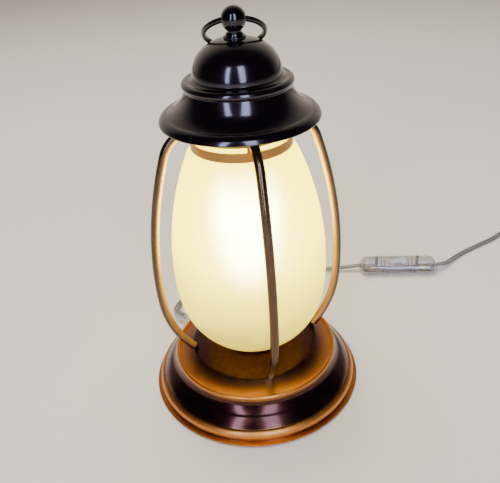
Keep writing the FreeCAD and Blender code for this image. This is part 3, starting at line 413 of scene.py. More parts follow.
def lacquered(name, dark, rubbed_and_lit, roughness, coat, bands=(), deck=None, dull=0.10, inner_side=False):
    """Antique copper under lacquer. Bands of heights (from, to, softness) in millimetres are made bright and
    duller, partly as rubbed wear and partly as painted reflections of the room; on the deck they stay outside a
    radius. With inner_side, the side of a tube that faces the lantern's axis is made bright instead: painted
    light from the glowing glass. Patches break up the colour and the gloss."""
    material, tree, shader, place = start_material(
        name, Metallic=1.0, Coat_Weight=coat, Coat_Roughness=0.12, Coat_IOR=1.5)
    patches = use(tree, PATCHES, Vector=place, Size=28.0, Contrast=1.6)["Mask"]
    fine = use(tree, PATCHES, Vector=place, Size=160.0, Contrast=1.4)["Mask"]
    reach, height = axes_of(tree, place)
    if inner_side:
        # painted light: the tube's side that faces the lantern's axis, towards the glowing glass, is made
        # bright
        facing_in = put(tree, "ShaderNodeAttribute", {}, attribute_name="inner_side").outputs["Fac"]
        wear_and_painted_light = sums(tree, "MULTIPLY", between(tree, facing_in, 0, 1, 0.30, 0.85),
                    between(tree, patches, 0.75, 1.0))
    elif bands:
        # height bands: partly rubbed wear, partly painted reflection of the room on flange edge, bulge foot and
        # rim
        wear_and_painted_light = sums(tree, "MULTIPLY", wear_and_reflection_bands(tree, height, bands), between(tree, patches, 0.7, 1.0))
    else:
        wear_and_painted_light = sums(tree, "MULTIPLY", patches, 0.35)
    gloss = sums(tree, "MULTIPLY_ADD", patches, 0.10, roughness - 0.05)
    if deck:
        wear_and_painted_light = sums(tree, "MULTIPLY", wear_and_painted_light, between(tree, reach, 0, 1, deck[0] * MM, deck[1] * MM))
        middle = sums(tree, "MULTIPLY", between(tree, reach, 1, 0, (deck[0] - 4) * MM, deck[1] * MM),
                      between(tree, height, 0, 1, 0.026, 0.030))
        gloss = sums(tree, "MULTIPLY_ADD", middle, 0.15, gloss)
    wear_and_painted_light = sums(tree, "ADD", wear_and_painted_light, sums(tree, "MULTIPLY", sums(tree, "SUBTRACT", fine, 0.5), 0.16))
    wear_and_painted_light = put(tree, "ShaderNodeClamp", {"Value": wear_and_painted_light}).outputs[0]
    # the bright colour goes where wear and painted light are marked
    surface(tree, shader, mixed(tree, wear_and_painted_light, dark, rubbed_and_lit), sums(tree, "MULTIPLY_ADD", wear_and_painted_light, dull, gloss),
            use(tree, TURNING, Vector=place, Fineness=1300.0)["Height"], 0.10, 0.0002)
    return material


def bare_metal(name, colour, roughness):
    """Plain turned metal: even colour with slow stains, turning lines in its height."""
    material, tree, shader, place = start_material(name, Metallic=1.0)
    stains = use(tree, PATCHES, Vector=place, Size=120.0, Contrast=1.3)["Mask"]
    surface(tree, shader, mixed(tree, stains, colour, tuple(c * 0.72 for c in colour)),
            sums(tree, "MULTIPLY_ADD", stains, 0.14, roughness - 0.07),
            use(tree, TURNING, Vector=place, Fineness=2600.0)["Height"], 0.12, 0.0001)
    return material


def moulded(name, colour, roughness, strength=0.08, **sockets):
    """Opaque moulding, casting or paint: fine grain in its height, slow wear in its gloss and tone."""
    material, tree, shader, place = start_material(name, **sockets)
    grain = use(tree, GRAIN, Vector=place)
    surface(tree, shader, mixed(tree, grain["Wear"], colour, tuple(min(c * 1.35 + 0.01, 1) for c in colour)),
            sums(tree, "MULTIPLY_ADD", grain["Wear"], 0.15, roughness - 0.07),
            grain["Height"], strength, 0.0002)
    return material


def felt_cloth():
    """Felt: short tangled fibres as fine noise in height and tone, with a soft sheen."""
    material, tree, shader, place = start_material("felt", Roughness=0.95, Sheen_Weight=0.6)
    fibres = noise(tree, place, 1800.0, 6.0, 0.75)
    surface(tree, shader, mixed(tree, fibres, (0.015, 0.035, 0.02), (0.05, 0.09, 0.055)), None,
            fibres, 0.8, 0.0006)
    return material


def clear_plastic(name, tint, roughness, transmission=0.92):
    """Clear flexible or moulded plastic with faint flow marks in its tint and gloss."""
    material, tree, shader, place = start_material(
        name, Transmission_Weight=transmission, IOR=1.49, Metallic=0.0)
    flow = use(tree, PATCHES, Vector=place, Size=220.0, Contrast=1.2)["Mask"]
    surface(tree, shader, mixed(tree, flow, tint, tuple(c * 0.93 for c in tint)),
            sums(tree, "MULTIPLY_ADD", flow, 0.08, roughness), flow, 0.06, 0.0003)
    return material


def frosted_glass():
    """Frosted glass round a lit bulb, with its light painted in its emission: a warm glow all over, more
    towards its neck, and a nearly white painted hot spot where it faces the camera at the bulb's height; slow
    blotches of painted shadow lie low down."""
    material, tree, shader, place = start_material(
        "frosted_glass", Transmission_Weight=0.30, IOR=1.45, Metallic=0.0, Roughness=0.50,
        Emission_Strength=15.0)
    height = axes_of(tree, place)[1]
    # painted shadow: slow dark blotches low down on the glass, which darken its glow and its colour
    shadow_patches = use(tree, PATCHES, Vector=place, Size=26.0, Contrast=2.6)["Mask"]
    low_down = between(tree, height, 1, 0, 0.055, 0.120)
    painted_shadow = sums(tree, "MULTIPLY", shadow_patches, sums(tree, "MULTIPLY", low_down, 0.75))
    # painted glow: emission rising with height stands in for the bulb's light through the glass
    glow = mixed(tree, between(tree, height, 0, 1, 0.036, 0.095), (0.030, 0.021, 0.001), (0.125, 0.110, 0.002))
    glow = mixed(tree, between(tree, height, 0, 1, 0.085, 0.160), glow, (0.230, 0.205, 0.004))
    glow = mixed(tree, painted_shadow, glow, (0.020, 0.016, 0.001))
    # painted hot spot: near white where the glass faces the camera at the bulb's height
    facing = put(tree, "ShaderNodeLayerWeight", {"Blend": 0.5}).outputs["Facing"]
    bulb_level = sums(tree, "MULTIPLY", between(tree, height, 0, 1, 0.098, 0.135),
                      between(tree, height, 1, 0, 0.160, 0.195))
    hot = sums(tree, "MULTIPLY", between(tree, facing, 1, 0, 0.01, 0.20), bulb_level)
    tree.links.new(mixed(tree, hot, glow, (1.0, 0.96, 0.60)), shader["Emission Color"])
    # base colour darker under the painted shadow
    surface(tree, shader, mixed(tree, painted_shadow, (0.72, 0.60, 0.14), (0.50, 0.40, 0.12)), None,
            use(tree, GRAIN, Vector=place, Fineness=3200.0)["Height"], 0.12, 0.0002)
    return material


def opal_bulb():
    """Lit opal bulb, a little brighter at its top than at its neck."""
    material, tree, shader, place = start_material(
        "opal_bulb", Roughness=0.3, Transmission_Weight=0.0, Emission_Strength=12.0,
        Base_Color=(0.95, 0.93, 0.88, 1))
    upward = between(tree, axes_of(tree, place)[1], 0, 1, 0.118, 0.135)
    tree.links.new(mixed(tree, upward, (1.0, 0.66, 0.26), (1.0, 0.84, 0.50)), shader["Emission Color"])
    return material


def strand_metal():
    """Bundle of fine twisted wires: slanted ridges across the strand's own map."""
    material, tree, shader, _ = start_material("strands", Metallic=1.0, Roughness=0.28)
    own = put(tree, "ShaderNodeUVMap", {}, uv_map="along").outputs[0]
    wires = put(tree, "ShaderNodeTexWave", {"Vector": own, "Scale": 5.0, "Distortion": 0.3},
                wave_type="BANDS", bands_direction="DIAGONAL").outputs["Fac"]
    # painted shade: the colour goes near black between the ridges, in the grooves of the twist
    surface(tree, shader, mixed(tree, wires, (0.05, 0.045, 0.045), (0.72, 0.64, 0.50)), None,
            wires, 0.6, 0.0003)
    return material


FINISHES = dict(
    # base_copper: its bright height bands are partly rubbed wear, partly painted reflection
    base_copper=lacquered("base_copper", (0.052, 0.015, 0.013), (0.70, 0.27, 0.050), 0.20, 0.25, dull=0.24,
                          bands=((-2, 1.75, 0.2), (3.4, 9.6, 1.6), (27.2, 34.0, 2.0)), deck=(46, 58.5)),
    hood_copper=lacquered("hood_copper", (0.012, 0.006, 0.014), (0.034, 0.014, 0.020), 0.20, 1.0),
    dark_copper=lacquered("dark_copper", (0.007, 0.009, 0.011), (0.030, 0.022, 0.016), 0.16, 0.8),
    # frame_bronze: bright on the side towards the lantern's axis, which is painted light from the glass
    frame_bronze=lacquered("frame_bronze", (0.10, 0.052, 0.024), (0.72, 0.40, 0.14), 0.26, 0.5,
                           inner_side=True),
    collar_bronze=lacquered("collar_bronze", (0.12, 0.055, 0.02), (0.30, 0.16, 0.06), 0.26, 0.3),
    gallery_copper=lacquered("gallery_copper", (0.34, 0.17, 0.040), (0.52, 0.28, 0.08), 0.32, 0.3),
    plate_steel=moulded("plate_paint", (0.03, 0.03, 0.03), 0.45),
    felt=felt_cloth(),
    ballast=moulded("ballast_casting", (0.10, 0.10, 0.10), 0.75, strength=0.5, Metallic=0.8),
    frosted_glass=frosted_glass(),
    bulb_glass=opal_bulb(),
    bulb_metal=bare_metal("bulb_cap", (0.78, 0.78, 0.76), 0.3),
    gasket=moulded("gasket_rubber", (0.02, 0.02, 0.02), 0.8, strength=0.3),
    lampholder=moulded("lampholder_moulding", (0.018, 0.016, 0.014), 0.35),
    contact_brass=bare_metal("contact_brass", (0.86, 0.64, 0.28), 0.22),
    clear_cord=clear_plastic("clear_cord", (0.90, 0.89, 0.92), 0.04),
    clear_shell=clear_plastic("clear_shell", (0.84, 0.82, 0.87), 0.02, 0.95),
    rocker_plastic=clear_plastic("rocker_plastic", (0.88, 0.88, 0.93), 0.15, 0.7),
    clear_plug=clear_plastic("clear_plug", (0.90, 0.89, 0.93), 0.08, 0.88),
    tie_plastic=moulded("tie_moulding", (0.80, 0.80, 0.78), 0.4),
    plain_steel=bare_metal("plain_steel", (0.62, 0.60, 0.57), 0.3),
    tube_brass=bare_metal("tube_brass", (0.70, 0.50, 0.24), 0.3),
    strands=strand_metal(),
)
SLOT_OF = {entry["node"]: entry["material_slot"] for entry in frame["record"]["subparts"]}


def dress(piece, slot, body="lantern", replaces=(), material=None):
    """Material, picked by the slot unless another is named, body, and the CAD nodes that the piece stands for,
    which it hides.
    """
    piece.data.materials.clear()
    piece.data.materials.append(FINISHES[material or slot])
    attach(piece, body)
    if replaces:
        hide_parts(*replaces)
    return piece


for node_name, node_object in frame["nodes"].items():
    node_object.data.materials.clear()
    node_object.data.materials.append(FINISHES[SLOT_OF[node_name]])
    softened(node_object)


# ---------------------------------------------------------------- base
DECK = levels("base_shell")[1]
BORE = 5.05


def base_shell():
    """Spun shell: flange, groove, bulge, ogee, neck, beaded rim, tray and deck, in one sheet."""
    line = outline(
        [(79.0, 1.3), (79.0, 1.7), (78.7, 1.8), (75.2, 1.8), (75.2, 2.8),
         (72.6, 10.6), (67.0, 17.0), (61.6, 23.6), (60.9, 26.6), (60.9, 29.2), (58.9, 29.3), (58.6, 28.4),
         (47.4, 34.0), (27.0, DECK), (BORE, DECK)],
        {4: -5.0, 5: -30.0, 6: 14.0, 8: -1.9, 9: -1.3, 11: 30.0, 12: -70.0})
    return turned("base_shell_spun", sheet_section(rounded_corners(line, 0.25), 1.0), 224)


def felt_pad():
    """Felt ring with rounded edges, which three sines of the angle make slightly ragged."""
    inner, outer, middle = 30, 70, 50
    points, faces = turned_part(ring_of(inner, outer, *levels("felt_ring"), 0.9, steps=6), 240)
    angle = np.arctan2(points[:, 1], points[:, 0])
    reach = np.hypot(points[:, 0], points[:, 1])
    edge = np.clip((np.abs(reach - middle) - 18.5) / 1.5, 0, 1)
    ragged = edge * 0.25 * (np.sin(37 * angle) + np.sin(61 * angle + 1) + np.sin(97 * angle + 2)) / 3
    points[:, :2] *= (1 - np.sign(reach - middle) * np.abs(ragged) / reach)[:, None]
    return solid("felt_pad", points, faces)


dress(base_shell(), "base_copper", replaces=["base_shell"])
dress(felt_pad(), "felt", replaces=["felt_ring"])


# ---------------------------------------------------------------- threaded tube, nuts and washers
def threaded_section(radius, depth, pitch, low, high):
    """Points up a threaded rod's side: triangular ridges, a pitch apart, run out flat at both ends."""
    height = np.linspace(low, high, int((high - low) / pitch) * 4 + 1)
    ridge = np.abs((height - low) / pitch % 1 - 0.5) * 2
    end = np.clip(np.minimum(height - low, high - height) / pitch, 0, 1)
    return np.stack([radius - depth * ridge * end, height], axis=1)


def centre_tube():
    """Hollow threaded tube."""
    low, high = levels("centre_tube")
    side = threaded_section(4.98, 0.45, 1.0, low, high)
    return turned("centre_tube_threaded", np.concatenate([side, [(3.5, high), (3.5, low)]]), 48)


def hex_nut(node, width, bore):
    """Hexagon nut whose corners are turned off at both faces: the radius at an angle is half the width over the
    cosine from the nearest flat's middle, and only half the width in the two faces."""
    low, high = levels(node)
    angle = around(72)
    circle = np.ones_like(angle)
    hexagon = width / 2 / np.cos((angle + math.pi / 6) % (math.pi / 3) - math.pi / 6)
    rows = [(bore * circle, low + 0.3), ((bore + 0.3) * circle, low), (width / 2 * circle, low),
            (hexagon, low + 0.5), (hexagon, high - 0.5), (width / 2 * circle, high),
            ((bore + 0.3) * circle, high), (bore * circle, high - 0.3)]
    points = [np.stack([reach * np.cos(angle), reach * np.sin(angle), height * circle], axis=1)
              for reach, height in rows]
    nut = solid(f"{node}_hexagon", np.concatenate(points), [grid_faces(len(rows), len(angle))])
    return dress(nut, SLOT_OF[node], replaces=[node])


dress(centre_tube(), "tube_brass", replaces=["centre_tube"])
for nut_name, nut_width, nut_bore in (("seat_nut", 16.0, BORE), ("base_nut", 16.0, BORE),
                                      ("crossbar_nut", 9.9, 3.05), ("hood_nut", 9.9, 3.05)):
    hex_nut(nut_name, nut_width, nut_bore)
for washer in ("seat_washer", "base_washer"):
    washer_ring = turned(f"{washer}_ring", ring_of(BORE, 9.0, *levels(washer), 0.2), 96)
    dress(washer_ring, "plain_steel", replaces=[washer])


# ---------------------------------------------------------------- glass seat and glass
GLASS_LOW, GLASS_HIGH = levels("glass_shade")
GALLERY_LOW = levels("gallery")[0]


def seat_cup():
    """Shallow copper cup with a rolled lip that the glass stands in."""
    low, high = levels("seat_cup")
    section = [(BORE, low), (23.2, low), (24.0, low + 0.7), (24.0, high - 0.4), (23.6, high),
               (23.2, high - 0.4), (23.2, low + 0.8), (BORE, low + 0.8)]
    return turned("seat_cup_spun", rounded_corners(section, 0.2, closed=True), 128)


def glass_shade():
    """Blown glass egg, open at its neck and foot, with fire-polished edges: arcs of one large radius at the
    belly and of two smaller ones towards the foot and the shoulder."""
    belly, belly_high, flat_drop, flat_radius = 54.3, 104, 24, 140
    foot, foot_high, shoulder, shoulder_high = 24.5, 41.6, 36.2, GALLERY_LOW - 5
    low_radius = belly - (flat_radius - math.sqrt(flat_radius ** 2 - flat_drop ** 2))
    lowest = leaving_radius(low_radius - foot, belly_high - flat_drop - foot_high, flat_drop / flat_radius)
    upper = leaving_radius(belly - shoulder, shoulder_high - belly_high)
    line = outline(
        [(22.4, GLASS_LOW), (22.4, 41.3), (foot, foot_high), (low_radius, belly_high - flat_drop),
         (belly, belly_high), (shoulder, shoulder_high), (31.6, GALLERY_LOW), (31.6, GLASS_HIGH - 1.1)],
        {2: -lowest, 3: -flat_radius, 4: -upper, 5: -12.07}, steps=30)
    return turned("glass_egg", sheet_section(line, 2.2), 200)


dress(seat_cup(), "base_copper", replaces=["seat_cup"], material="gallery_copper")
dress(glass_shade(), "frosted_glass", replaces=["glass_shade"])


# ---------------------------------------------------------------- lampholder and bulb
def lampholder():
    """Domed cap of the lampholder, and its threaded skirt."""
    low = levels("socket_cap")[0]
    cap = outline([(5.1, low), (8.5, low), (11.5, low + 5), (11.5, low + 13.9), (10.1, low + 13.9),
                   (10.1, low + 5.5), (5.1, low + 1.4)], {1: -11.5})
    dress(turned("lampholder_cap", rounded_corners(cap, 0.3, closed=True), 96), "lampholder",
          replaces=["socket_cap"])
    low, high = levels("socket_shell")
    skirt = np.concatenate([[(12.1, low), (13.3, low), (13.5, low + 0.4)],
                            threaded_section(13.5, 0.6, 2.0, low + 4, high - 9),
                            [(13.5, high - 0.5), (13.1, high), (9.3, high), (9.3, high - 1.4),
                             (12.1, high - 1.4)]])
    dress(turned("lampholder_skirt", skirt, 96), "lampholder", replaces=["socket_shell"])


def bulb():
    """Bulb: an opal globe 1 mm thick on a flared neck, and its threaded cap with a contact tip. The globe's
    line runs from its outer pole down to the neck's lip and up inside to its inner pole."""
    globe, join_share = 22.5, 0.78
    low, high = levels("bulb_envelope")
    join, join_high = globe * join_share, high - globe - globe * math.sqrt(1 - join_share ** 2)
    outer = outline([(6.8, low), (join, join_high), (0.0, high)], {0: globe, 1: -globe}, steps=40)
    inner = outline([(0.0, high - 1.0), (join - 0.8, join_high + 0.5), (5.8, low)],
                    {0: globe - 1.0, 1: -globe - 1.0}, steps=40)
    dress(turned("bulb_globe", np.concatenate([outer[::-1], inner[::-1]]), 96), "bulb_glass",
          replaces=["bulb_envelope"])
    low, high = levels("bulb_cap")
    cap = np.concatenate([[(0, low), (2.2, low), (2.6, low + 0.5), (3.4, low + 1.5), (6.3, low + 3.6)],
                          threaded_section(6.88, 0.7, 2.8, low + 4, high - 2), [(6.88, high), (0, high)]])
    dress(turned("bulb_cap_threaded", cap, 64), "bulb_metal", replaces=["bulb_cap"])


lampholder()
bulb()

# ---------------------------------------------------------------- frame: arms and crown
SIDES = dict(front=270, right=0, back=90, left=180)
FRAME_TURN = 11.0
CROWN_LOW, CROWN_HIGH = levels("crown_ring")
CROWN_MIDDLE, CROWN_RADIUS = (CROWN_LOW + CROWN_HIGH) / 2, 28.5
ARM_RADIUS, ARM_WALL = 3.0, 0.8


def arm_path():
    """Arm's centreline in its own plane as (radius, height): level at the crown, upright at the belly, leaning
    in to its foot, on four arcs that flow into each other."""
    shoulder, shoulder_high, belly, belly_high = 50.5, 192.0, 66.0, 98.0
    foot, foot_high, flat_drop, flat_radius = 47.4, 36.4, 20, 222
    bend = leaving_radius(CROWN_MIDDLE - shoulder_high, shoulder - CROWN_RADIUS)
    upper = leaving_radius(belly - shoulder, shoulder_high - belly_high)
    low_radius = belly - (flat_radius - math.sqrt(flat_radius ** 2 - flat_drop ** 2))
    lowest = leaving_radius(low_radius - foot, belly_high - flat_drop - foot_high, flat_drop / flat_radius)
    return outline([(CROWN_RADIUS, CROWN_MIDDLE), (shoulder, shoulder_high), (belly, belly_high),
                    (low_radius, belly_high - flat_drop), (foot, foot_high)],
                   {0: bend, 1: upper, 2: flat_radius, 3: lowest}, steps=26)


def arm(side, azimuth):
    """Open-ended tube: outer wall, rounded lip and inner wall as one closed grid of hoops along the path. The
    attribute is one on the side that faces the lantern's axis and falls with the sine to nought outside."""
    line = arm_path()
    path = np.stack([line[:, 0], 0 * line[:, 0], line[:, 1]], axis=1)
    way, across, angle = unit(np.gradient(path, axis=0)), np.array([0.0, 1.0, 0.0]), around(28)
    lift = np.cross(way, across)

    def hoop(index, radius, along=0.0):
        centre = path[index] + way[index] * along
        return centre + radius * (np.cos(angle)[:, None] * across + np.sin(angle)[:, None] * lift[index])

    last, lip, inner = len(path) - 1, 0.25, ARM_RADIUS - ARM_WALL
    rows = [hoop(index, ARM_RADIUS) for index in range(last)]
    rows += [hoop(last, ARM_RADIUS, -lip), hoop(last, ARM_RADIUS - lip), hoop(last, inner + lip / 2),
             hoop(last, inner, -lip)]
    rows += [hoop(index, inner) for index in range(last - 1, -1, -1)]
    part = np.concatenate(rows), [grid_faces(len(rows), len(angle))]
    tube = solid(f"arm_{side}_tube", *moved(part, turn=azimuth + FRAME_TURN))
    # this attribute marks where frame_bronze paints the glass's light on the arm
    inner_side = tube.data.attributes.new("inner_side", "FLOAT", "POINT").data
    inner_side.foreach_set("value", np.tile(0.5 - 0.5 * np.sin(angle), len(rows)))
    return dress(tube, "frame_bronze", replaces=[f"arm_{side}"])


def crown_ring():
    """Turned collar with softened edges."""
    section = rounded_corners(
        [(24.2, CROWN_LOW), (CROWN_RADIUS, CROWN_LOW), (CROWN_RADIUS, CROWN_MIDDLE), (CROWN_RADIUS, CROWN_HIGH),
         (24.2, CROWN_HIGH)], 0.5, closed=True)
    return turned("crown_collar", section, 144)


for side_name, side_turn in SIDES.items():
    arm(side_name, side_turn)
dress(crown_ring(), "frame_bronze", replaces=["crown_ring"], material="collar_bronze")


# ---------------------------------------------------------------- hood, finial, carrying ring
FINIAL_LOW, FINIAL_HIGH = levels("finial")
BALL_RADIUS, EYE = 7.5, 2.6
BALL = FINIAL_HIGH - BALL_RADIUS


def hood():
    """Bell hood in one spun sheet: brim, concave skirt, bead and dome, with arcs between its levels."""
    low, high = levels("hood")
    waist, crest, crest_rise, top = 27.6, 20.2, 42.5, 8.0
    dome_rise = crest_rise - 26 - 0.7
    dome = leaving_radius(waist - crest, dome_rise)
    crest_radius = leaving_radius(crest - top, 48 - crest_rise, dome_rise / dome)
    line = outline(
        [(50.6, low + 0.5), (50.9, low + 1.0), (45.5, low + 5.8), (33.2, low + 20.3), (31.4, low + 25.4),
         (waist, low + 26.7), (crest, low + crest_rise), (top, high), (3.05, high)],
        {0: -0.7, 1: -6.0, 2: 22.0, 3: -2.75, 4: 4.1, 5: -dome, 6: -crest_radius}, steps=24)
    return turned("hood_spun", sheet_section(rounded_corners(line, 0.3), 1.0), 224)


def finial():
    """Ball on a stepped, beaded foot: straight steps and three arcs turned about the axis, and the eye's bore
    through the ball."""
    neck = 4.1
    seat = BALL - math.sqrt(BALL_RADIUS ** 2 - neck ** 2)
    line = outline(
        [(0.0, FINIAL_LOW), (6.5, FINIAL_LOW), (6.7, FINIAL_LOW + 0.2), (6.7, FINIAL_LOW + 1.0),
         (5.4, FINIAL_LOW + 1.5), (4.9, FINIAL_LOW + 3.2), (neck, FINIAL_LOW + 3.4), (neck, seat),
         (0.0, FINIAL_HIGH)], {3: -0.8, 5: -1.0, 7: -BALL_RADIUS}, steps=20)
    return cut_away(turned("finial_ball", line, 96), straight((-10, 0, BALL), (10, 0, BALL), EYE))


def carrying_ring():
    """Wire bent round to a ring, its butt joint inside the ball: a torus from its level circle, leaned back
    about the ball's centre."""
    ring_radius, wire, rest = 18.5, 1.7, math.radians(37.0)
    reach = ring_radius - BALL_RADIUS ** 2 / (4 * ring_radius)
    along, across = np.meshgrid(around(160), around(24), indexing="ij")
    radius = ring_radius + wire * np.cos(across)
    flat = np.stack([radius * np.cos(along), radius * np.sin(along) + reach, wire * np.sin(across)], axis=-1)
    lean = np.array([[1, 0, 0], [0, math.cos(rest), math.sin(rest)], [0, -math.sin(rest), math.cos(rest)]])
    points = flat.reshape(-1, 3) @ lean.T + np.array([0, 0, BALL])
    return solid("carrying_ring_wire", points, [grid_faces(160, 24)])


dress(hood(), "hood_copper", replaces=["hood"])
dress(finial(), "dark_copper", replaces=["finial"])
dress(carrying_ring(), "dark_copper", body="ring", replaces=["carrying_ring"])


# ---------------------------------------------------------------- in-line switch
def slab(length, width, corner, rows, place=(0, 0), steps=9):
    """(points, faces) of a rounded rectangle carried up through rows of (inset, height); an inset moves the
    outline in and shortens its corner's radius alike. The first and last rows are closed by one flat face."""
    quarter = np.linspace(0, math.pi / 2, steps)
    hoops = []
    for inset, height in rows:
        radius = max(corner - inset, 0.15)
        along, across = length / 2 - inset - radius, width / 2 - inset - radius
        for number, (sx, sy) in enumerate(((1, 1), (-1, 1), (-1, -1), (1, -1))):
            turn = quarter + number * math.pi / 2
            hoops.append(np.stack([sx * along + radius * np.cos(turn) + place[0],
                                   sy * across + radius * np.sin(turn) + place[1], 0 * turn + height], axis=1))
    ring = np.arange(4 * steps)
    return np.concatenate(hoops), [grid_faces(len(rows), len(ring), wrap_rows=False), ring[None, ::-1],
                                   (ring + (len(rows) - 1) * len(ring))[None]]


SWITCH_PLACE, SWITCH_TURN = np.array([144.5, 124.5, 0.0]), -5.5
SWITCH_LENGTH, SWITCH_WIDTH, SWITCH_HIGH, SWITCH_WALL = 73.0, 22.0, 12.0, 1.2
SWITCH_SCREWS = ((-19.71, 7.33), (19.71, 7.33))
CLAMP_ALONG, CLAMP_ASIDE = 24.82, 1.87


def on_switch(part):
    return moved(part, SWITCH_PLACE, SWITCH_TURN)


def switch_shells():
    """Clear upper and lower shells of the switch: rounded slabs with softened rims, hollow where they meet,
    with the cord's mouths, the screws' holes, the rocker's window and its two cheeks."""
    seam, wall = SWITCH_HIGH / 2, SWITCH_WALL
    rim = [(0, 0), (0.03, 1.0), (0.35, 2.4), (1.0, 3.6), (2.0, 4.6), (3.4, 5.4), (5.0, 5.85), (6.6, 6.0)]
    hollow = [(wall, 0), (wall + 0.1, 1.6), (wall + 0.8, 3.2), (wall + 2.2, 4.3), (wall + 4.5, 4.75)]
    mouth = slab(SWITCH_LENGTH * 1.2, 5.5, 0.9, [(0, seam - 1.45), (0, seam + 1.45)])
    bores = [moved(straight((0, 0, -3), (0, 0, 15), 1.65), (x, y, 0)) for x, y in SWITCH_SCREWS]
    window = slab(16.8, 8.6, 1.0, [(0, seam - 3), (0, seam + 9)])
    pieces = []
    for name, node, way, tools in (("switch_upper_shell", "switch_cover", 1, [mouth, *bores, window]),
                                   ("switch_lower_shell", "switch_base", -1, [mouth, *bores])):
        rows = [(inset, seam + way * rise) for inset, rise in hollow[::-1] + rim]
        shell = solid(name, *on_switch(slab(SWITCH_LENGTH, SWITCH_WIDTH, SWITCH_WIDTH / 3, rows, steps=12)))
        pieces.append(dress(cut_away(shell, *map(on_switch, tools)), "clear_shell", replaces=[node]))
    cheeks = [slab(6.4, 1.2, 0.5, [(0.2, 6.6), (0, 6.8), (0, 11.0), (0.2, 11.2)], place=(0, side * 5.2))
              for side in (-1, 1)]
    webs = [slab(0.8, 5.6, 0.3, [(0.2, 1.3), (0, 1.5), (0, 5.6), (0.2, 5.8)], place=(x, side * 6.2))
            for side in (-1, 1) for x in (-15.0, -11.5, 11.5, 15.0)]
    for name, node, parts in (("switch_cheeks", "switch_cover", cheeks), ("switch_webs", "switch_base", webs)):
        pieces.append(dress(solid(name, *on_switch(joined(parts))), "clear_shell", replaces=[node]))
    return pieces


def switch_rocker():
    """Rocker: a dished block with cosine grip lines across its top, and its pivot pin; one end is down."""
    half, dish_radius, top_high, tilt = 7.5, 24.0, 3.05, math.radians(8.0)
    x = np.linspace(half, -half, 121)
    dish = dish_radius - np.sqrt(dish_radius ** 2 - x ** 2)
    grip = 0.16 * (1 - np.cos(2 * math.pi * x / 1.25)) * ((np.abs(x) > 2.5) & (np.abs(x) < 6.9))
    top = np.stack([x, top_high + dish - grip], axis=1)
    section = np.concatenate([[(-7.3, -2.0), (7.3, -2.0), (half, -1.8)], top, [(-half, -1.8)]])
    block = carried_part([(0, y, 0) for y in (-4.0, -3.7, 3.7, 4.0)], section, scale=[0.96, 1, 1, 0.96])
    pin = straight((0, -5.5, 0), (0, 5.5, 0), [(0, 0.7), (0.03, 0.94), (0.97, 0.94), (1, 0.7)], 24)
    lean = np.array([[math.cos(tilt), 0, -math.sin(tilt)], [0, 1, 0], [math.sin(tilt), 0, math.cos(tilt)]])
    return [dress(solid(name, *on_switch((points @ lean.T + np.array([0, 0, SWITCH_HIGH * 0.75]), faces))),
                  "rocker_plastic", body="rocker", replaces=["switch_rocker"])
            for name, (points, faces) in (("rocker_block", block), ("rocker_pin", pin))]


def along_map(piece, rows, columns, length, part=None):
    """Map of a carried mesh: length along the path and share of the way round, for its wires' twist; part is
    the number of points in each of several joined bars."""
    layer = piece.data.uv_layers.new(name="along")
    index = np.zeros(len(piece.data.loops), int)
    piece.data.loops.foreach_get("vertex_index", index)
    index = index % part if part else index
    row = np.minimum(index // columns, rows - 1)
    layer.data.foreach_set("uv", np.stack([row / rows * length, index % columns / columns * 2], axis=1).ravel())


def switch_insides():
    """Brass clamps, slotted screws, and the conductors' stripped ends, one of which runs straight through."""
    corners = [(x, y) for x in (-1, 1) for y in (-1, 1)]
    clamps = [slab(7.9, 2.5, 0.4, [(0.3, 1.25), (0, 1.6), (0, 4.9), (0.3, 5.3)],
                   place=(x * CLAMP_ALONG, y * CLAMP_ASIDE)) for x, y in corners]
    pieces = [dress(solid("terminal_clamps", *on_switch(joined(clamps))), "contact_brass",
                    replaces=["switch_terminals"])]
    bare = [((x * 36.4, y * 1.3, 6.0), (x * 20.0, y * CLAMP_ASIDE, 5.9)) for x, y in corners]
    bare.append(((-20.0, -CLAMP_ASIDE, 5.9), (20.0, -CLAMP_ASIDE, 5.9)))
    wires = solid("switch_wires", *on_switch(joined([straight(*ends, 0.62, 10) for ends in bare])))
    along_map(wires, 2, 10, 5.0, part=22)
    pieces.append(dress(wires, "contact_brass", material="strands"))
    for number, (x, y) in enumerate(SWITCH_SCREWS):
        shank = straight((x, y, 11.6), (x, y, 0.2), [(0, 1.2), (0.02, 1.45), (0.9, 1.45), (1, 1.2)], 24)
        slot = slab(3.4, 0.5, 0.1, [(0, -0.5), (0, 0.9)], place=(x, y))
        screw = cut_away(solid(f"switch_screw_{number + 1}", *on_switch(shank)), on_switch(slot))
        pieces.append(dress(screw, "plain_steel", replaces=["switch_screws"]))
    return pieces


# ---------------------------------------------------------------- plug, strap and gland
CORD_WIDTH, CORD_THICK, FLOOR = 5.2, 2.6, 1.4
COIL_CENTRE = (309.0, 163.0)
PLUG_PLACE, PLUG_TURN = (337.5, 108.0, 0.0), -97.0


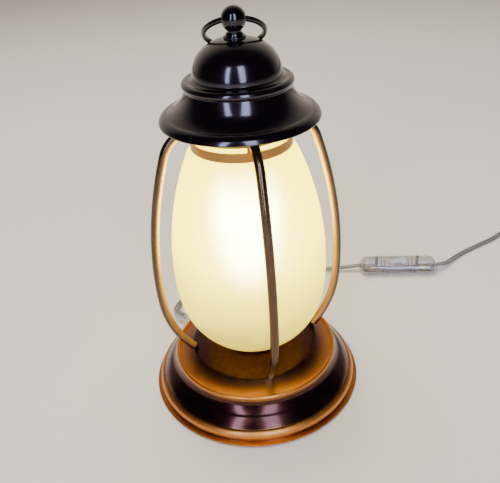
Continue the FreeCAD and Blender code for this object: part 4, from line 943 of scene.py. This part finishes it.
def plug():
    """Moulded plug: a waisted body, each hoop a rounded box by powers of cosine and sine, with cosine grip ribs
    on its sides, and two pins that taper at their tips."""
    length, middle, tall_half, edge, pin_aside = 36, 6.5, 6.4, 1.6, 9.5
    along = np.linspace(0, length, 61)
    half = np.interp(along, [0, 4, 10, 16, 21.6, 36], [5.2, 5.7, 7.6, 10.4, 12.7, 12.9])
    half -= 0.25 * (1 - np.cos(2 * math.pi * along / 2.4)) * ((along > 6) & (along < 18))
    end = np.minimum(np.minimum(along, length - along) / edge, 1.0)
    soft = (np.sqrt(1 - (1 - end) ** 2) * 0.12 + 0.88)[:, None]
    angle = around(44)
    flat, tall = np.cos(angle), np.sin(angle)
    across = np.sign(flat) * np.abs(flat) ** 0.55 * half[:, None] * soft
    above = np.sign(tall) * np.abs(tall) ** 0.5 * tall_half * soft + middle
    body = closed_tube(np.stack([along[:, None] + 0 * across, across, above], axis=-1),
                       [[0, 0, middle], [length, 0, middle]])
    pieces = [dress(solid("plug_moulding", *moved(body, PLUG_PLACE, PLUG_TURN)), "clear_plug",
                    replaces=["plug_body"])]
    for number, aside in enumerate((-pin_aside, pin_aside)):
        pin = straight((length, aside, middle), (length + 19.0, aside, middle),
                       [(0, 1.95), (0.93, 1.95), (0.98, 1.5), (1, 0.7)], 28)
        pin = solid(f"plug_pin_{number + 1}", *moved(pin, PLUG_PLACE, PLUG_TURN))
        pieces.append(dress(pin, "contact_brass", replaces=["plug_pins"]))
    return pieces


def coil_band():
    """Flat strap round the coil's turns: a rounded rectangle's outline and one inside it, each at both edges of
    the strap's width, joined into a closed band."""
    reach, middle, half_width, steps = 29.0, 4.65, 2.5, 7
    hoops = []
    for length, width, corner, edges in ((20.6, 9.3, 1.6, (-half_width, half_width)),
                                         (18.7, 8.4, 1.1, (half_width, -half_width))):
        line = slab(length, width, corner, [(0, 0)], steps=steps)[0]
        hoops += [np.stack([reach + line[:, 0], 0 * line[:, 0] + edge, middle + line[:, 1]], axis=1)
                  for edge in edges]
    strap = np.concatenate(hoops), [grid_faces(4, 4 * steps)]
    return dress(solid("coil_strap", *moved(strap, (*COIL_CENTRE, 0), -110.0)), "tie_plastic",
                 replaces=["coil_tie"])


def gland():
    """Ribbed strain relief: a taper along the outlet, a flange inside the shell and cosine rings outside."""
    share = np.linspace(0, 1, 81)
    taper = np.interp(share, [0, 0.06, 0.07, 0.62, 1], [4.1, 4.1, 3.6, 3.3, 2.75])
    rings = 0.45 * np.cos(2 * math.pi * (share - 0.66) / 0.068) * ((share > 0.64) & (share < 0.98))
    outlet_turn, outlet_high, inside, outside = math.radians(134.0), 8.6, 67.0, 87.0
    start, end = ((math.cos(outlet_turn) * reach, math.sin(outlet_turn) * reach, outlet_high)
                  for reach in (inside, outside))
    part = straight(start, end, list(zip(share, taper + np.minimum(rings, 0))), 32)
    return dress(solid("cord_strain_relief", *part), "clear_cord", replaces=["cord_gland"])


gland()

# ---------------------------------------------------------------- cord
LAMP_ROUTE = [
    (-60.4, 62.6, 8.6), (-68.7, 71.2, 7.2), (-70.7, 84.0, 3.2), (-63.4, 100.4, FLOOR), (-45.0, 116.5, FLOOR),
    (-20.0, 127.5, FLOOR), (10.0, 133.5, FLOOR), (40.0, 134.5, FLOOR), (68.0, 132.0, FLOOR),
    (89.0, 129.8, 3.2), (108.0, 128.0, 6.0)]
# the last point leads into the coil's outer turn
PLUG_ROUTE = [
    (181.0, 121.0, 6.0), (190.5, 122.6, 4.4), (201.0, 133.8, 1.8), (215.5, 145.0, FLOOR),
    (237.0, 157.5, FLOOR), (256.0, 168.0, FLOOR), (271.0, 180.0, FLOOR)]
# from the coil's top over its outer turn and down to the plug
TAIL_ROUTE = [(338.4, 141.0, 5.9), (338.8, 129.0, 4.4), (338.8, 118.5, 4.9), (337.5, 108.0, 6.5)]


def coil_turns():
    """Turns of the coil, clockwise from above: in along the floor, out again one thickness higher, and most of
    a turn on top that closes in a little. Radius and height are clipped straight lines of the turn."""
    start, outer, pitch, layer = 120.0, 35.2, 5.45, 2.65
    inward, outward_again, top = 2.25, 2.25, 300 / 360
    turn = np.linspace(0, inward + outward_again + top, int((inward + outward_again + top) * 16) + 1)
    second, third = turn - inward, turn - inward - outward_again
    radius = (outer - pitch * np.minimum(turn, inward) + pitch * np.clip(second, 0, outward_again)
              - 6.0 * np.clip(third / top, 0, 1))
    lifts = [np.clip((since + 0.06) / 0.14, 0, 1) for since in (second, third)]
    height = FLOOR - 0.05 + layer * (lifts[0] + lifts[1])
    angle = np.radians(start - 360 * turn)
    return np.stack([COIL_CENTRE[0] + radius * np.cos(angle), COIL_CENTRE[1] + radius * np.sin(angle), height],
                    axis=1)


def smooth_line(name, route):
    """Points along a smooth spline whose control points are the route."""
    curve = bpy.data.curves.new(name, "CURVE")
    curve.dimensions = "3D"
    curve.resolution_u = 10
    spline = curve.splines.new("NURBS")
    spline.points.add(len(route) - 1)
    spline.points.foreach_set("co", np.column_stack([np.asarray(route) * MM, np.ones(len(route))]).ravel())
    spline.order_u = 3
    spline.use_endpoint_u = True
    holder = in_scene(name, curve)
    mesh = bpy.data.meshes.new_from_object(holder)
    points = np.zeros(len(mesh.vertices) * 3)
    mesh.vertices.foreach_get("co", points)
    bpy.data.objects.remove(holder)
    bpy.data.meshes.remove(mesh)
    return points.reshape(-1, 3) / MM


def twin_section():
    """Flat twin section: two round lobes side by side with a shallow valley between them."""
    lobe, shift = CORD_THICK / 2, CORD_WIDTH / 2 - CORD_THICK / 2
    right = np.radians(np.linspace(-138, 138, 15))
    half = np.stack([shift + lobe * np.cos(right), lobe * np.sin(right)], axis=1)
    return np.concatenate([half, -half])


def cord_run(name, route, replaces, carries):
    """One length of clear flat twin cord: the sheath with two twisted conductors inside it."""
    line = smooth_line(f"{name}_line", route)
    length = float(np.linalg.norm(np.diff(line, axis=0), axis=1).sum())
    sheath = dress(solid(name, *carried_part(line, twin_section())), "clear_cord", replaces=replaces)
    side = unit(np.cross(np.gradient(line, axis=0), (0, 0, 1)))
    for number, sign in enumerate((-1, 1)):
        core_line = line + side * sign * CORD_WIDTH / 4
        core = solid(f"{name}_core_{number + 1}", *carried_part(core_line, circle_section(0.66, 10)))
        along_map(core, len(core_line), 10, length / 4)
        dress(core, "contact_brass", material="strands")


SWITCH_PIECES = [*switch_shells(), *switch_rocker(), *switch_insides(), frame["nodes"]["switch_contact"]]
cord_run("lamp_cord", LAMP_ROUTE, ["cord_lamp_side"], SWITCH_PIECES)
cord_run("plug_cord", PLUG_ROUTE + coil_turns().tolist() + TAIL_ROUTE,
         ["cord_plug_side", "cord_coil", "cord_tail"], [*plug(), coil_band()])


# ---------------------------------------------------------------- stage and light
def stage_floor():
    """Pale plain floor, a wide sheet just under the lantern."""
    half, low = 4000.0, -0.05
    floor = solid("floor", [(-half, -half, low), (half, -half, low), (half, half, low), (-half, half, low)],
                  [np.array([[0, 1, 2, 3]])], keep_winding=True)
    paper = start_material("floor_paper", Roughness=0.85, Base_Color=(0.80, 0.73, 0.62, 1))[0]
    floor.data.materials.append(paper)


def area_light(name, place, target, size, power, colour):
    """Rectangular soft light that faces a target; size is (width, height) in metres."""
    light = bpy.data.lights.new(name, "AREA")
    light.shape, light.size, light.size_y = "RECTANGLE", *size
    light.energy, light.color = power, colour
    holder, place = in_scene(name, light), Vector(place)
    facing = (Vector(target) - place).to_track_quat("-Z", "Y").to_matrix().to_4x4()
    holder.matrix_world = Matrix.Translation(place) @ facing
    return holder


def studio():
    """Pale wall behind the lantern, a dark room before it, two tall cool windows and a soft light overhead that
    glossy surfaces don't mirror."""
    world = bpy.data.worlds.new("studio")
    bpy.context.scene.world = world
    world.use_nodes = True
    tree = world.node_tree
    sky = tree.nodes.new("ShaderNodeTexCoord").outputs["Generated"]
    way = put(tree, "ShaderNodeSeparateXYZ", {"Vector": sky}).outputs["Y"]
    behind = between(tree, way, 0, 1, 0.15, 0.75)
    shade = tree.nodes["Background"].inputs
    tree.links.new(mixed(tree, behind, (0.070, 0.058, 0.076), (0.80, 0.68, 0.58)), shade["Color"])
    shade["Strength"].default_value = 0.8
    cool, plain = (0.62, 0.72, 1.0), (1.0, 0.95, 0.88)
    area_light("window_left", (-0.75, -1.6, 0.95), (0, 0, 0.15), (0.30, 1.7), 22.0, cool)
    area_light("window_right", (0.37, -1.6, 0.95), (0, 0, 0.15), (0.46, 1.7), 30.0, cool)
    area_light("overhead", (-0.2, 0.5, 1.7), (0.05, 0.05, 0), (1.6, 1.6), 42.0, plain).visible_glossy = False


stage_floor()
studio()
